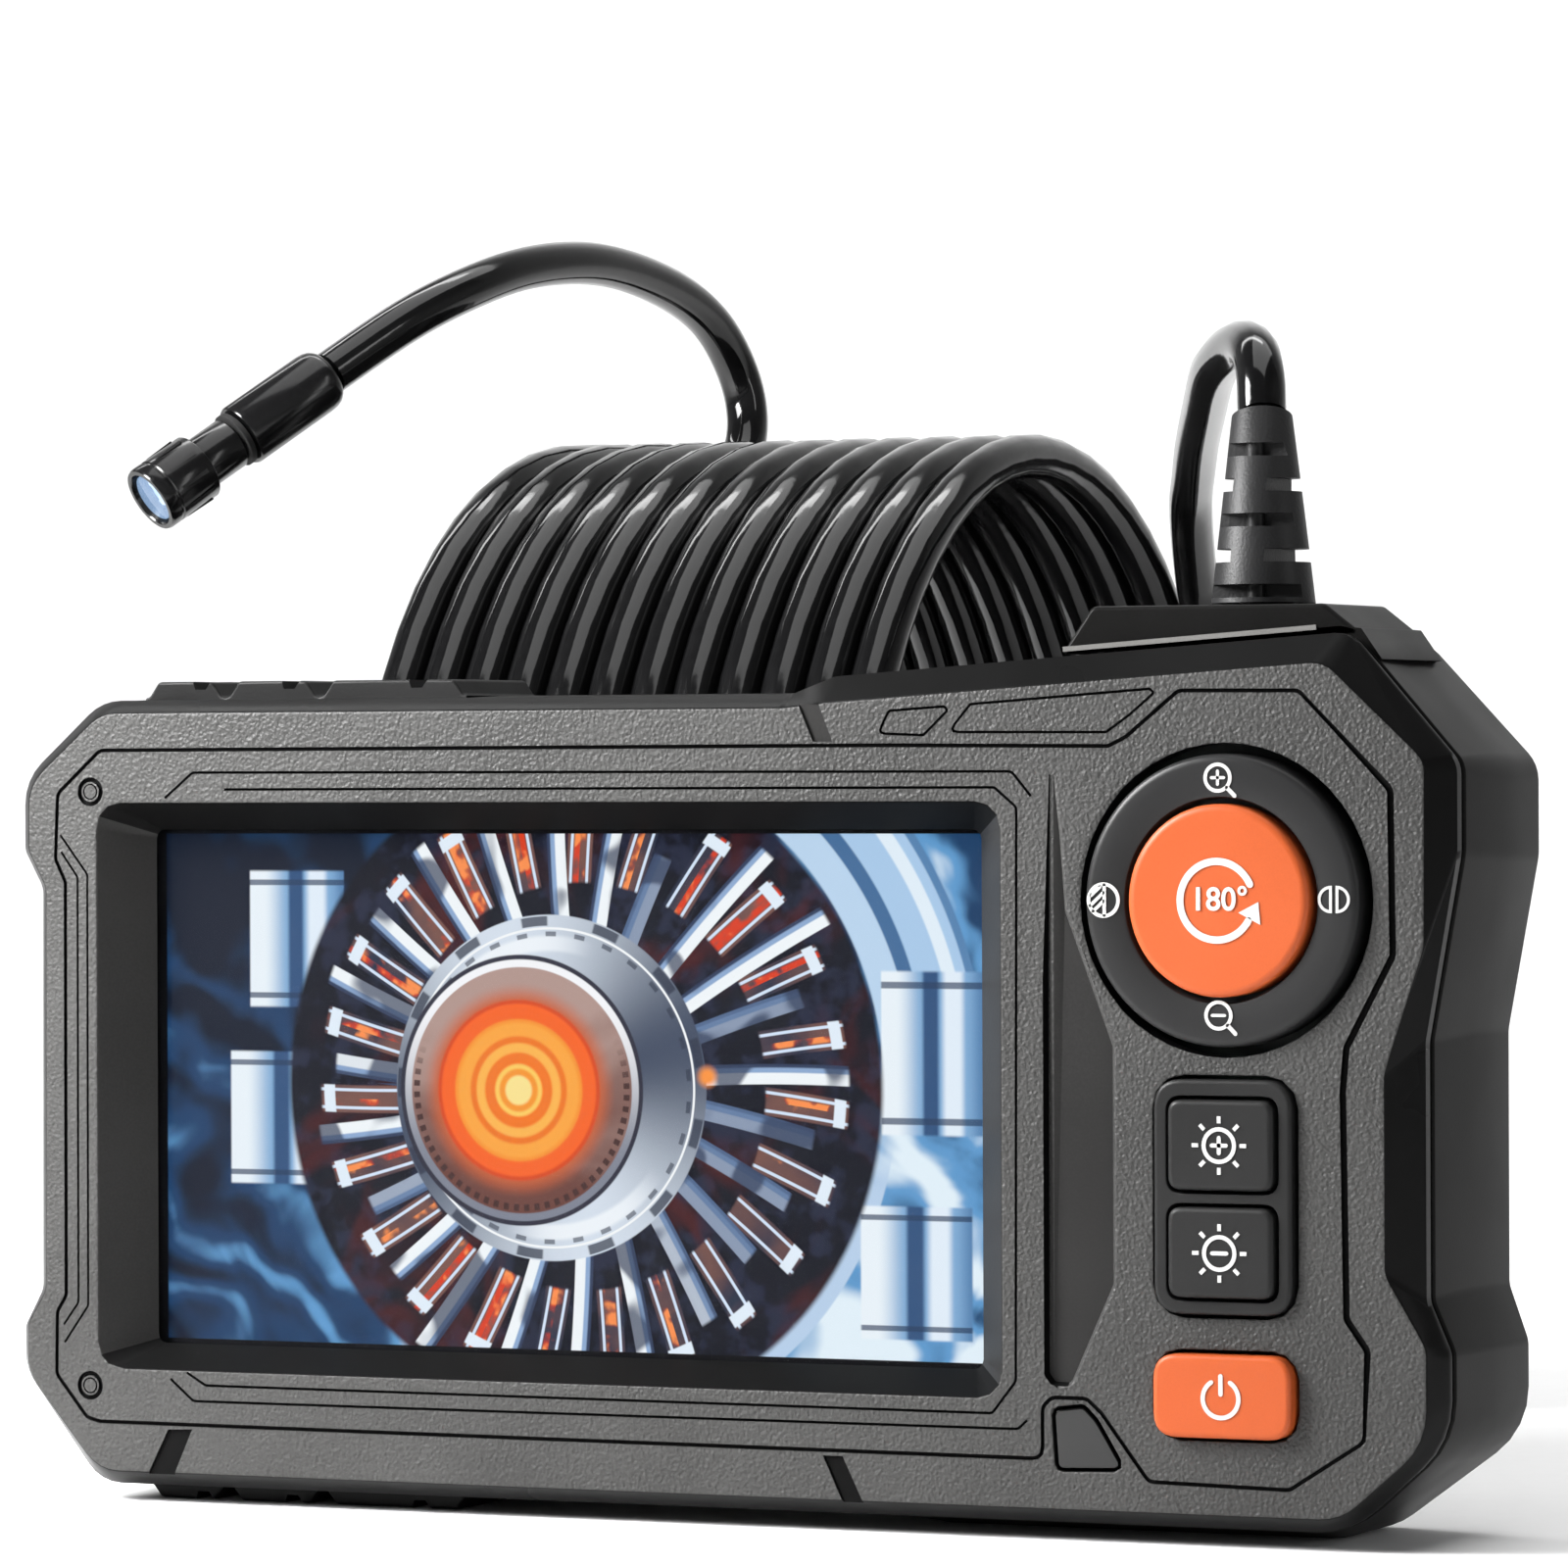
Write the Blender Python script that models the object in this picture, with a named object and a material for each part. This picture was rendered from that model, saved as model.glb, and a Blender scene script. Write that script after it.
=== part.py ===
"""Inspection camera: a handset with a display, keys and ports, and a semi-rigid cable with a camera probe.

Blender 4.5, metres, +Z up. The handset's front faces -Y. The origin is under the middle of the handset,
on the surface that it stands on. Sizes below are in millimetres, and mm() turns them into metres.

Places on the handset are written (u, v, d): u to the right and v up from the centre of the display,
and d into the body from its front face.
"""

import math

import bmesh
import bpy
from mathutils import Matrix, Vector

# Driving dimensions, mm ------------------------------------------------------------------------------
GAP = 0.3              # between pieces that touch
WALL = 2.2             # of both shells
BODY_DEPTH = 28.0      # front face to back
BUTTON_RISE = 2.2      # of the centre button, the foremost piece
CHAMFER_DEPTH = 2.2    # of the bright edge round the front face
FRONT_SIDE = 1.2       # the front shell's straight side behind that edge
GASKET_THICK = 0.5
BACK_ROUND = 3.0
REST_LEVEL = 44.1      # the display's centre above the surface

SCREEN_WIDE, SCREEN_HIGH = 95.04, 53.86    # a 4.3 inch display's picture
HOOD_DEPTH = 5.0       # from the front face down to the window
HOOD_WALL_WIDE, HOOD_WALL_HIGH = 3.7, 3.2     # the hood's block beyond its opening, at the sides and the ends
HOOD_FLARE_WIDE, HOOD_FLARE_HIGH = 9.8, 6.3   # how much larger its mouth is than the picture
WINDOW_THICK = 0.8
PANEL_THICK = 2.8
FRAME_THICK = 1.0
BOARD_THICK = 1.6
BOARD_STANDOFF = 1.8   # from the display frame to the main board
KEY_BOARD_DEPTH = 6.5
KEY_BOARD_THICK = 1.2

DIAL_U, DIAL_V = 76.5, 20.4
RING_R = 14.6
RING_GAP = 1.0         # all round the ring pad, in the front shell
RING_RISE, RING_SINK = 1.3, 2.6
CENTRE_R = 9.6
CENTRE_GAP = 0.6
ROCKER_THICK = 1.0
KEY_U = 76.4
KEY_WIDE, KEY_HIGH, KEY_RISE, KEY_CORNER = 11.2, 9.0, 1.6, 1.2
KEY_UP_V, KEY_DOWN_V = -3.9, -14.6
SURROUND_WIDE, SURROUND_HIGH, SURROUND_V = 14.7, 23.4, -9.1
SURROUND_RISE, SURROUND_SINK, SURROUND_CORNER = 0.9, 2.4, 3.0
POWER_WIDE, POWER_HIGH, POWER_V = 14.7, 8.3, -28.9
POWER_RISE, POWER_CORNER = 1.4, 2.5
KEY_SINK = 3.0         # from the face to the back of a key's cap
STEM_SIDE = 3.2
KEY_GAP = 0.35
KEY_TRAVEL = 0.5
TRAVEL_SPARE = 0.15    # between a pressed key and its switch
SWITCH_SIDE, SWITCH_HIGH = 4.5, 1.0

BATTERY_LONG, BATTERY_HIGH, BATTERY_THICK = 53.0, 38.0, 7.0
TRAY_U, TRAY_WALL, TRAY_FLOOR, TRAY_RIM = 4.0, 1.2, 1.0, 4.0
TRAY_SPARE = 9.0       # room at the battery's right for its leads
BOARD_U, BOARD_WIDE, BOARD_HIGH = -4.0, 107.0, 52.0
CHIP_U, CHIP_V, CHIP_SIDE, CHIP_THICK = 34.0, 8.0, 14.0, 1.4
SOCKET_V, SOCKET_WIDE, SOCKET_LONG, SOCKET_THICK = 6.5, 9.0, 7.4, 3.2
SLOT_V, SLOT_WIDE, SLOT_LONG, SLOT_THICK = -6.5, 12.0, 12.0, 1.8
PORTS_LEFT_U = -57.3
SCREW_HEAD_R, SCREW_SHANK_R, SCREW_HEAD_THICK = 2.3, 0.9, 1.8
SCREW_SEAT_DEPTH = 15.0
PILOT_R = SCREW_SHANK_R + GAP

BOOT_BASE_R, BOOT_TOP_R, BOOT_LONG = 5.3, 3.1, 19.0
BLOCK_TOP_V, BLOCK_LONG = 49.9, 17.5
BOOT_U, BOOT_D = 74.9, 15.0
BOOT_LEAN_U, BOOT_LEAN_D = -1.4, 3.4    # how far its top leans from its base
BOOT_SLOTS, SLOT_PITCH, SLOT_FIRST, SLOT_HIGH = 5, 3.6, 1.2, 1.3
SLOT_OUT, SLOT_REACH = 5.4, 3.7         # a slot's middle from the boot's, and half its depth
NECK_R, NECK_GAP = 3.2, 0.4
NECK_END_V = 37.4
NUT_R, NUT_THICK = 5.0, 1.6

CABLE_R = 2.5
COIL_OUTER_R = 57.8
COIL_BEHIND = 4.2      # from the handset's back to the coil
COIL_LEFT_X, COIL_RIGHT_X = -60.45, 6.3

PROBE_R, PROBE_NECK_R = 3.9, 3.0
PROBE_LONG, PROBE_NECK_LONG = 12.1, 5.0
PROBE_WALL = 0.8
COLLAR_R, COLLAR_LONG, COLLAR_ROUND = 3.65, 13.0, 2.6
SEAL_THICK = 0.8
MODULE_R = 1.5
LENS_THICK, LENS_SINK = 1.2, 0.4
LED_BOARD_THICK = 0.8

# The outline's corners, (u, v, radius): the face, the rim round it, and the back shell at its widest.
FACE = [(-52.0, 39.8, 4.5), (-60.9, 32.2, 5), (-60.9, 25.2, 2), (-58.8, 21.3, 2.5), (-59.0, -21.8, 2.5),
        (-61.2, -25.4, 2), (-61.3, -30.6, 5), (-52.6, -40.8, 5), (36.0, -40.8, 1), (40.0, -40.8, 1),
        (88.5, -40.8, 6), (97.5, -33.0, 7), (97.5, -23.6, 3), (93.2, -16.5, 3), (93.2, 3.2, 3),
        (97.4, 15.5, 6), (97.5, 34.2, 2.5), (87.0, 44.0, 3.5), (33.0, 40.3, 1.5), (28.0, 39.85, 1.5)]
RIM = [(-53.0, 41.2, 6), (-62.6, 32.8, 6), (-62.6, 25.2, 2), (-60.4, 21.2, 2.5), (-60.6, -21.8, 2.5),
       (-62.8, -25.8, 2), (-62.8, -30.5, 5), (-53.6, -42.3, 5), (36.0, -42.3, 1), (40.0, -42.3, 1),
       (88.5, -42.3, 9), (99.0, -33.0, 9), (99.0, -24.2, 3), (96.8, -19.2, 3), (96.8, 6.5, 4),
       (100.2, 25.0, 8), (100.2, 34.0, 3), (88.8, 47.0, 3), (33.0, 43.05, 1.5), (28.0, 41.2, 1.5)]
BACK = [(-53.0, 41.5, 6), (-62.8, 32.8, 6), (-62.8, 25.2, 2), (-60.8, 21.2, 2.5), (-60.9, -21.8, 2.5),
        (-63.0, -25.8, 2), (-63.0, -30.5, 5), (-53.6, -42.5, 5), (36.0, -42.5, 1), (40.0, -REST_LEVEL, 1),
        (84.8, -REST_LEVEL, 8), (99.4, -33.4, 9), (99.4, -24.4, 3), (97.4, -18.8, 3), (97.4, 7.0, 4),
        (100.7, 24.6, 7), (100.7, 33.8, 4), (88.8, 46.4, 4), (33.0, 43.1, 1.5), (28.0, 41.5, 1.5)]
INDICATOR = [(57.9, -30.9, 0.5), (61.0, -30.5, 0.5), (62.4, -31.9, 0.5), (65.2, -36.5, 0.5), (58.3, -36.7, 0.5)]
SCREW_PLACES = [(-53.3, 31.5), (-53.6, -31.8), (10.0, 35.4), (10.0, -36.2), (87.5, 37.6), (87.5, -33.6)]
SLIM_BOSS_R, COLUMN_R = 2.2, 3.2
SLIM_BOSSES = 2        # the first two screws stand beside the hood
PEG_R = 1.4
KEY_BOARD_PEGS = [(59.6, 36.2), (59.5, -24.0), (94.0, 33.0), (88.8, -22.0)]
KEY_BOARD = [(55.5, -38.0, 2), (82.5, -38.0, 2), (84.0, -27.0, 2), (92.5, -20.0, 2), (92.5, 8.0, 3),
             (96.2, 24.0, 3), (96.2, 33.0, 3), (89.0, 34.0, 1.5), (84.0, 34.5, 1.5), (83.0, 42.0, 2), (55.5, 40.0, 2)]

# Grip pads: u of each raised block's two ends, along the top and the bottom.
GRIP_BLOCKS = [(-49.6, -40.6), (-39.8, -29.2), (-28.4, -11.6)]
GRIP_STRIP, GRIP_SINK = 0.3, 1.0
GRIP_TOP_LEVEL = REST_LEVEL - 0.9
GRIP_FROM, GRIP_TO = 6.0, 23.0

PORT_V, PORT_HIGH = 0.0, 26.0
PORT_FROM, PORT_TO = 11.0, 21.0
PORT_COVER_THICK = 1.5
PORT_LEDGE = 1.5       # the step that the cover lies on, round the opening
PLUG_LESS_HIGH, PLUG_LESS_DEEP = 3.0, 2.4

# The cable's route where it isn't coiled, in metres: from the strain relief to the coil's right end, and
# from the coil's left end to the probe.
RISER_ROUTE = [(0.0545, 0.0058, 0.1147), (0.0542, 0.0065, 0.1168), (0.0534, 0.0079, 0.1188),
               (0.0520, 0.0103, 0.1203), (0.0499, 0.0140, 0.1212), (0.0470, 0.0190, 0.1216),
               (0.0430, 0.0259, 0.1213), (0.0362, 0.0385, 0.1201), (0.0280, 0.0571, 0.1176),
               (0.0190, 0.0771, 0.1144), (0.0128, 0.0915, 0.1110), (0.0094, 0.0990, 0.1085)]
LEAD_ROUTE = [(-0.0573, 0.1001, 0.1136), (-0.0569, 0.1065, 0.1131), (-0.0566, 0.1117, 0.1132),
              (-0.0566, 0.1164, 0.1147), (-0.0568, 0.1197, 0.1182), (-0.0575, 0.1208, 0.1229),
              (-0.0584, 0.1189, 0.1277), (-0.0590, 0.1138, 0.1321), (-0.0595, 0.1055, 0.1350),
              (-0.0602, 0.0941, 0.1369), (-0.0608, 0.0831, 0.1374), (-0.0621, 0.0701, 0.1360),
              (-0.0634, 0.0601, 0.1334), (-0.0659, 0.0521, 0.1302), (-0.0690, 0.0461, 0.1264),
              (-0.0719, 0.0406, 0.1226)]
PROBE_DIRECTION = Vector((-0.475, -0.690, -0.545)).normalized()

# Worked-out levels, mm of depth from the front face
SIDE_END = CHAMFER_DEPTH + FRONT_SIDE
GASKET_FROM = SIDE_END + GAP
BACK_FROM = GASKET_FROM + GASKET_THICK + GAP
WINDOW_FROM = HOOD_DEPTH + GAP
PANEL_FROM = WINDOW_FROM + WINDOW_THICK + GAP
FRAME_FROM = PANEL_FROM + PANEL_THICK + GAP
BOARD_FROM = FRAME_FROM + FRAME_THICK + BOARD_STANDOFF + GAP
TRAY_FROM = BOARD_FROM + BOARD_THICK + GAP
BOSS_END = SCREW_SEAT_DEPTH - 3.0
SWITCH_FROM = KEY_BOARD_DEPTH - GAP - SWITCH_HIGH
STEM_END = SWITCH_FROM - KEY_TRAVEL - TRAVEL_SPARE
DIAL_HOLE_R = RING_R + RING_GAP
ROCKER_FROM = RING_SINK + 0.8
PANEL_WIDE, PANEL_HIGH = SCREEN_WIDE + 4.0, SCREEN_HIGH + 3.4
FRAME_WIDE, FRAME_HIGH = PANEL_WIDE - 1.0, PANEL_HIGH + 1.6
U_SHIFT = -(BACK[5][0] + BACK[15][0]) / 2
D_SHIFT = -(BODY_DEPTH - BUTTON_RISE) / 2
COIL_CENTRE_Y = BODY_DEPTH + D_SHIFT + COIL_BEHIND + COIL_OUTER_R
ARC_STEPS = 4
LEAST_TANGENT = 0.4      # keeps a slight corner's points apart


def mm(value):
    return value / 1000


def at(u, v, d):
    """A place on the handset, in metres."""
    return Vector((mm(u + U_SHIFT), mm(d + D_SHIFT), mm(v + REST_LEVEL)))


# Outlines ---------------------------------------------------------------------------------------------
def turns_left(corners):
    area = sum(a[0] * b[1] - b[0] * a[1] for a, b in zip(corners, corners[1:] + corners[:1]))
    return area > 0


def inset(corners, amount):
    """The corners moved in by amount, with their radii kept parallel."""
    side = 1 if turns_left(corners) else -1
    moved = []
    for i, (u, v, radius) in enumerate(corners):
        here = Vector((u, v))
        before = (here - Vector(corners[i - 1][:2])).normalized()
        after = (Vector(corners[(i + 1) % len(corners)][:2]) - here).normalized()
        normal = Vector((-(before + after).y, (before + after).x)).normalized() * side
        reach = amount / max(0.3, normal.dot(Vector((-before.y, before.x)) * side))
        convex = before.cross(after) * side > 0
        place = here + normal * reach
        moved.append((place.x, place.y, max(0.3, radius - amount if convex else radius + amount)))
    return moved


def rounded(corners, steps=ARC_STEPS):
    """Points round the outline, with steps + 1 of them on every corner."""
    points = []
    for i, (u, v, radius) in enumerate(corners):
        here = Vector((u, v))
        back = Vector(corners[i - 1][:2]) - here
        ahead = Vector(corners[(i + 1) % len(corners)][:2]) - here
        room = 0.48 * min(back.length, ahead.length)
        back.normalize()
        ahead.normalize()
        half = (math.pi - back.angle(ahead)) / 2
        if half < 0.01:
            start, end = here + back * min(radius, room), here + ahead * min(radius, room)
            points += [start.lerp(end, k / steps) for k in range(steps + 1)]
            continue
        tangent = min(max(radius * math.tan(half), LEAST_TANGENT), room)
        start, end = here + back * tangent, here + ahead * tangent
        centre = here + (back + ahead).normalized() * tangent / math.sin(half)
        for k in range(steps + 1):
            # Equal angles about the centre, by spherical interpolation between the two tangent points.
            share = k / steps
            weight = math.sin(2 * half)
            mix = (start - centre) * math.sin((1 - share) * 2 * half) / weight
            mix += (end - centre) * math.sin(share * 2 * half) / weight
            points.append(centre + mix)
    return points


def box_corners(u, v, wide, high, radius):
    left, right, low, top = u - wide / 2, u + wide / 2, v - high / 2, v + high / 2
    return [(left, low, radius), (right, low, radius), (right, top, radius), (left, top, radius)]


def circle_points(u, v, radius, count):
    angles = [2 * math.pi * k / count for k in range(count)]
    return [Vector((u + radius * math.cos(a), v + radius * math.sin(a))) for a in angles]


# Solids -----------------------------------------------------------------------------------------------
def material(name, colour, roughness, metallic=0.0):
    found = bpy.data.materials.get(name)
    if found:
        return found
    made = bpy.data.materials.new(name)
    made.use_nodes = True
    shader = made.node_tree.nodes["Principled BSDF"]
    shader.inputs["Base Color"].default_value = (*colour, 1)
    shader.inputs["Roughness"].default_value = roughness
    shader.inputs["Metallic"].default_value = metallic
    return made


def shell_black():
    return material("shell_black", (0.035, 0.035, 0.037), 0.4)


def rubber_black():
    return material("rubber_black", (0.02, 0.02, 0.021), 0.75)


def cable_black():
    return material("cable_black", (0.008, 0.008, 0.009), 0.2)


def key_orange():
    return material("key_orange", (0.9, 0.2, 0.04), 0.45)


def board_green():
    return material("board_green", (0.02, 0.16, 0.07), 0.5)


def steel():
    return material("steel", (0.55, 0.55, 0.57), 0.3, 1.0)


def clear_glass():
    return material("clear_glass", (0.7, 0.75, 0.8), 0.05)


def new_object(name, mesh, look):
    thing = bpy.data.objects.new(name, mesh)
    bpy.context.scene.collection.objects.link(thing)
    if look:
        mesh.materials.append(look)
    return thing


def loft(name, rings, look=None):
    """A closed solid through rings of equally many points, its two ends capped."""
    mesh = bpy.data.meshes.new(name)
    bm = bmesh.new()
    rows = [[bm.verts.new(point) for point in ring] for ring in rings]
    count = len(rows[0])
    for lower, upper in zip(rows, rows[1:]):
        for k in range(count):
            bm.faces.new((lower[k], lower[(k + 1) % count], upper[(k + 1) % count], upper[k]))
    bm.faces.new(rows[0])
    bm.faces.new(rows[-1])
    bmesh.ops.recalc_face_normals(bm, faces=bm.faces)
    bm.to_mesh(mesh)
    bm.free()
    return new_object(name, mesh, look)


def ring_at(points, d):
    return [at(point[0], point[1], d) for point in points]


def prism(name, points, front, back, look=None):
    """The outline through these points, from one depth to another."""
    return loft(name, [ring_at(points, front), ring_at(points, back)], look)


def block(name, u, v, wide, high, front, back, radius, look=None):
    return prism(name, rounded(box_corners(u, v, wide, high, radius), 3), front, back, look)


def disc(name, u, v, radius, front, back, look=None, count=24):
    return prism(name, circle_points(u, v, radius, count), front, back, look)


def combine(thing, other, operation):
    modifier = thing.modifiers.new(other.name, "BOOLEAN")
    modifier.object = other
    modifier.operation = operation
    modifier.solver = "EXACT"
    other.hide_render = True
    other.display_type = "WIRE"


def cut(thing, *cutters):
    for cutter in cutters:
        combine(thing, cutter, "DIFFERENCE")


def join(thing, *others):
    for other in others:
        combine(thing, other, "UNION")


def smooth(thing, degrees=30):
    thing.data.shade_smooth()
    thing.data.set_sharp_from_angle(angle=math.radians(degrees))
    return thing


def turned(name, profile, place, direction, look, count=24):
    """A turned solid: profile is (distance along the axis, radius) in mm, from a start to an end."""
    turn = Vector((0, 0, 1)).rotation_difference(direction).to_matrix().to_4x4()
    frame = Matrix.Translation(place) @ turn
    rings = []
    for along, radius in profile:
        spots = circle_points(0, 0, radius, count)
        rings.append([frame @ Vector((mm(p.x), mm(p.y), mm(along))) for p in spots])
    return smooth(loft(name, rings, look))


# The shells -------------------------------------------------------------------------------------------
def boss_radius(number):
    return SLIM_BOSS_R if number < SLIM_BOSSES else COLUMN_R - 0.4


def front_shell():
    shell = loft("front_shell", [
        ring_at(rounded(FACE), 0), ring_at(rounded(RIM), CHAMFER_DEPTH), ring_at(rounded(RIM), SIDE_END),
    ], shell_black())
    cut(shell, prism("front_hollow", rounded(inset(RIM, WALL)), CHAMFER_DEPTH, SIDE_END + 5))
    hood_wide, hood_high = SCREEN_WIDE + 1, SCREEN_HIGH + 1
    outer = rounded(box_corners(0, 0, hood_wide + 2 * HOOD_WALL_WIDE, hood_high + 2 * HOOD_WALL_HIGH, 2), 3)
    join(shell, prism("hood_block", outer, 1.0, HOOD_DEPTH))
    mouth_wide, mouth_high = SCREEN_WIDE + HOOD_FLARE_WIDE, SCREEN_HIGH + HOOD_FLARE_HIGH
    mouth = ring_at(rounded(box_corners(-0.2, 0.2, mouth_wide, mouth_high, 2.8), 3), 0)
    throat = ring_at(rounded(box_corners(0, 0, hood_wide, hood_high, 1.0), 3), HOOD_DEPTH)
    stretch = [front + (front - back) * 0.2 for front, back in zip(mouth, throat)]
    beyond = [back + (back - front) * 0.2 for front, back in zip(mouth, throat)]
    cut(shell, loft("hood_funnel", [stretch, beyond]))
    for number, (u, v) in enumerate(SCREW_PLACES):
        join(shell, disc(f"boss_{number}", u, v, boss_radius(number), 1.2, BOSS_END, count=16))
        cut(shell, disc(f"pilot_{number}", u, v, PILOT_R, 4.0, BOSS_END + 1, count=12))
    for number, (u, v) in enumerate(KEY_BOARD_PEGS):
        join(shell, disc(f"peg_{number}", u, v, PEG_R, 1.2, KEY_BOARD_DEPTH - GAP, count=12))
    cut(shell, disc("dial_hole", DIAL_U, DIAL_V, DIAL_HOLE_R, -3, 9, count=48))
    reach = 2 * KEY_GAP
    cut(shell, block("surround_hole", KEY_U, SURROUND_V, SURROUND_WIDE + reach, SURROUND_HIGH + reach, -3, 9,
                     SURROUND_CORNER + GAP))
    cut(shell, block("power_hole", KEY_U, POWER_V, POWER_WIDE + reach, POWER_HIGH + reach, -3, 9, POWER_CORNER + GAP))
    cut(shell, prism("indicator_hole", rounded(inset(INDICATOR, -GAP), 2), -3, 9))
    return smooth(shell)


def back_shell():
    back_edge = inset(BACK, BACK_ROUND)
    shell = loft("rear_shell", [
        ring_at(rounded(RIM), BACK_FROM), ring_at(rounded(BACK), 14.0),
        ring_at(rounded(BACK), BODY_DEPTH - BACK_ROUND), ring_at(rounded(inset(BACK, 0.9)), BODY_DEPTH - 0.9),
        ring_at(rounded(back_edge), BODY_DEPTH),
    ], shell_black())
    cut(shell, loft("back_hollow", [
        ring_at(rounded(inset(RIM, WALL)), BACK_FROM - 3), ring_at(rounded(inset(RIM, WALL)), BACK_FROM),
        ring_at(rounded(inset(BACK, WALL)), 14.0), ring_at(rounded(inset(BACK, WALL + 1)), BODY_DEPTH - WALL),
    ]))
    for number, (u, v) in enumerate(SCREW_PLACES):
        join(shell, disc(f"column_{number}", u, v, COLUMN_R, BOSS_END + GAP, BODY_DEPTH - 1, count=20))
    for number, (u, v) in enumerate(SCREW_PLACES):
        cut(shell, disc(f"screw_well_{number}", u, v, SCREW_HEAD_R + 0.35, SCREW_SEAT_DEPTH, 32, count=16))
        cut(shell, disc(f"screw_hole_{number}", u, v, SCREW_SHANK_R + 0.5, BOSS_END - 1, 32, count=12))
    for sign, level, name in ((1, RIM[0][1], "top"), (-1, -RIM[7][1], "bottom")):
        middle = (GRIP_BLOCKS[0][0] + GRIP_BLOCKS[-1][1]) / 2
        wide = GRIP_BLOCKS[-1][1] - GRIP_BLOCKS[0][0] + 2 * GAP
        floor = sign * (level - GRIP_SINK)
        cut(shell, block(f"grip_seat_{name}", middle, floor + sign * 5, wide, 10,
                         GRIP_FROM - GAP, GRIP_TO + GAP, 0.05))
    pocket = PORT_COVER_THICK + GAP
    wall_u = BACK[3][0]
    cut(shell, block("port_pocket", wall_u - 5 + pocket, PORT_V, 10, PORT_HIGH + 2 * GAP,
                     PORT_FROM - GAP, PORT_TO + GAP, 0.05))
    cut(shell, block("port_window", wall_u, PORT_V, 14, PORT_HIGH - 2 * PORT_LEDGE,
                     PORT_FROM + PORT_LEDGE, PORT_TO - PORT_LEDGE, 0.05))
    cut(shell, cable_way("cable_way", 38.0))
    return smooth(shell)


def cable_way(name, from_v):
    """A cutter for the hole that the strain relief's neck goes through."""
    radius = NECK_R + NECK_GAP
    return turned(name, [(0, radius), (14, radius)], at(BOOT_U, from_v, BOOT_D), Vector((0, 0, 1)), None, 20)


def shell_gasket():
    outer = rounded(inset(RIM, 0.5))
    inner = rounded(inset(RIM, 1.7))
    ends = GASKET_FROM, GASKET_FROM + GASKET_THICK
    gasket = prism("shell_gasket", outer, *ends, rubber_black())
    cut(gasket, prism("gasket_hollow", inner, ends[0] - 1, ends[1] + 1))
    return gasket


def grip_pad(name, sign, level):
    """A rubber pad along an edge: a strip sunk in the shell with three raised blocks on it."""
    low = level - GRIP_SINK + GAP
    strip = level + GRIP_STRIP
    top = GRIP_TOP_LEVEL if sign > 0 else REST_LEVEL
    profile = [(GRIP_BLOCKS[0][0], low), (GRIP_BLOCKS[0][0], strip)]
    for start, end in GRIP_BLOCKS:
        profile += [(start + 0.05, strip), (start + 1.2, top), (end - 1.2, top), (end - 0.05, strip)]
    profile += [(GRIP_BLOCKS[-1][1], strip), (GRIP_BLOCKS[-1][1], low)]
    points = [Vector((u, sign * v)) for u, v in profile]
    return prism(name, points, GRIP_FROM, GRIP_TO, rubber_black())


def port_cover():
    wall_u = BACK[3][0]
    middle = wall_u + PORT_COVER_THICK / 2
    cover = block("port_cover", middle, PORT_V, PORT_COVER_THICK, PORT_HIGH, PORT_FROM, PORT_TO, 0.3, rubber_black())
    join(cover, block("port_plug", wall_u + PORT_COVER_THICK, PORT_V, 1.4, PORT_HIGH - 2 * PLUG_LESS_HIGH,
                      PORT_FROM + PLUG_LESS_DEEP, PORT_TO - PLUG_LESS_DEEP, 0.2))


# The display and the boards ---------------------------------------------------------------------------
def display():
    block("display_window", 0, 0, PANEL_WIDE, PANEL_HIGH, WINDOW_FROM, WINDOW_FROM + WINDOW_THICK, 1.0, clear_glass())
    block("lcd_panel", 0, 0, PANEL_WIDE, PANEL_HIGH, PANEL_FROM, PANEL_FROM + PANEL_THICK, 0.6,
          material("panel_black", (0.01, 0.01, 0.012), 0.3))
    frame = block("lcd_frame", 0, 0, FRAME_WIDE, FRAME_HIGH, FRAME_FROM, FRAME_FROM + FRAME_THICK, 1.0, steel())
    for number, (side, level) in enumerate(((-1, -1), (1, -1), (1, 1), (-1, 1))):
        join(frame, disc(f"standoff_{number}", side * 40, level * 20, 1.8,
                         FRAME_FROM + 0.3, BOARD_FROM - GAP, count=12))
    cut(frame, block("frame_window", 0, 0, 60, 26, FRAME_FROM - 1, BOARD_FROM, 2))


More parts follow.
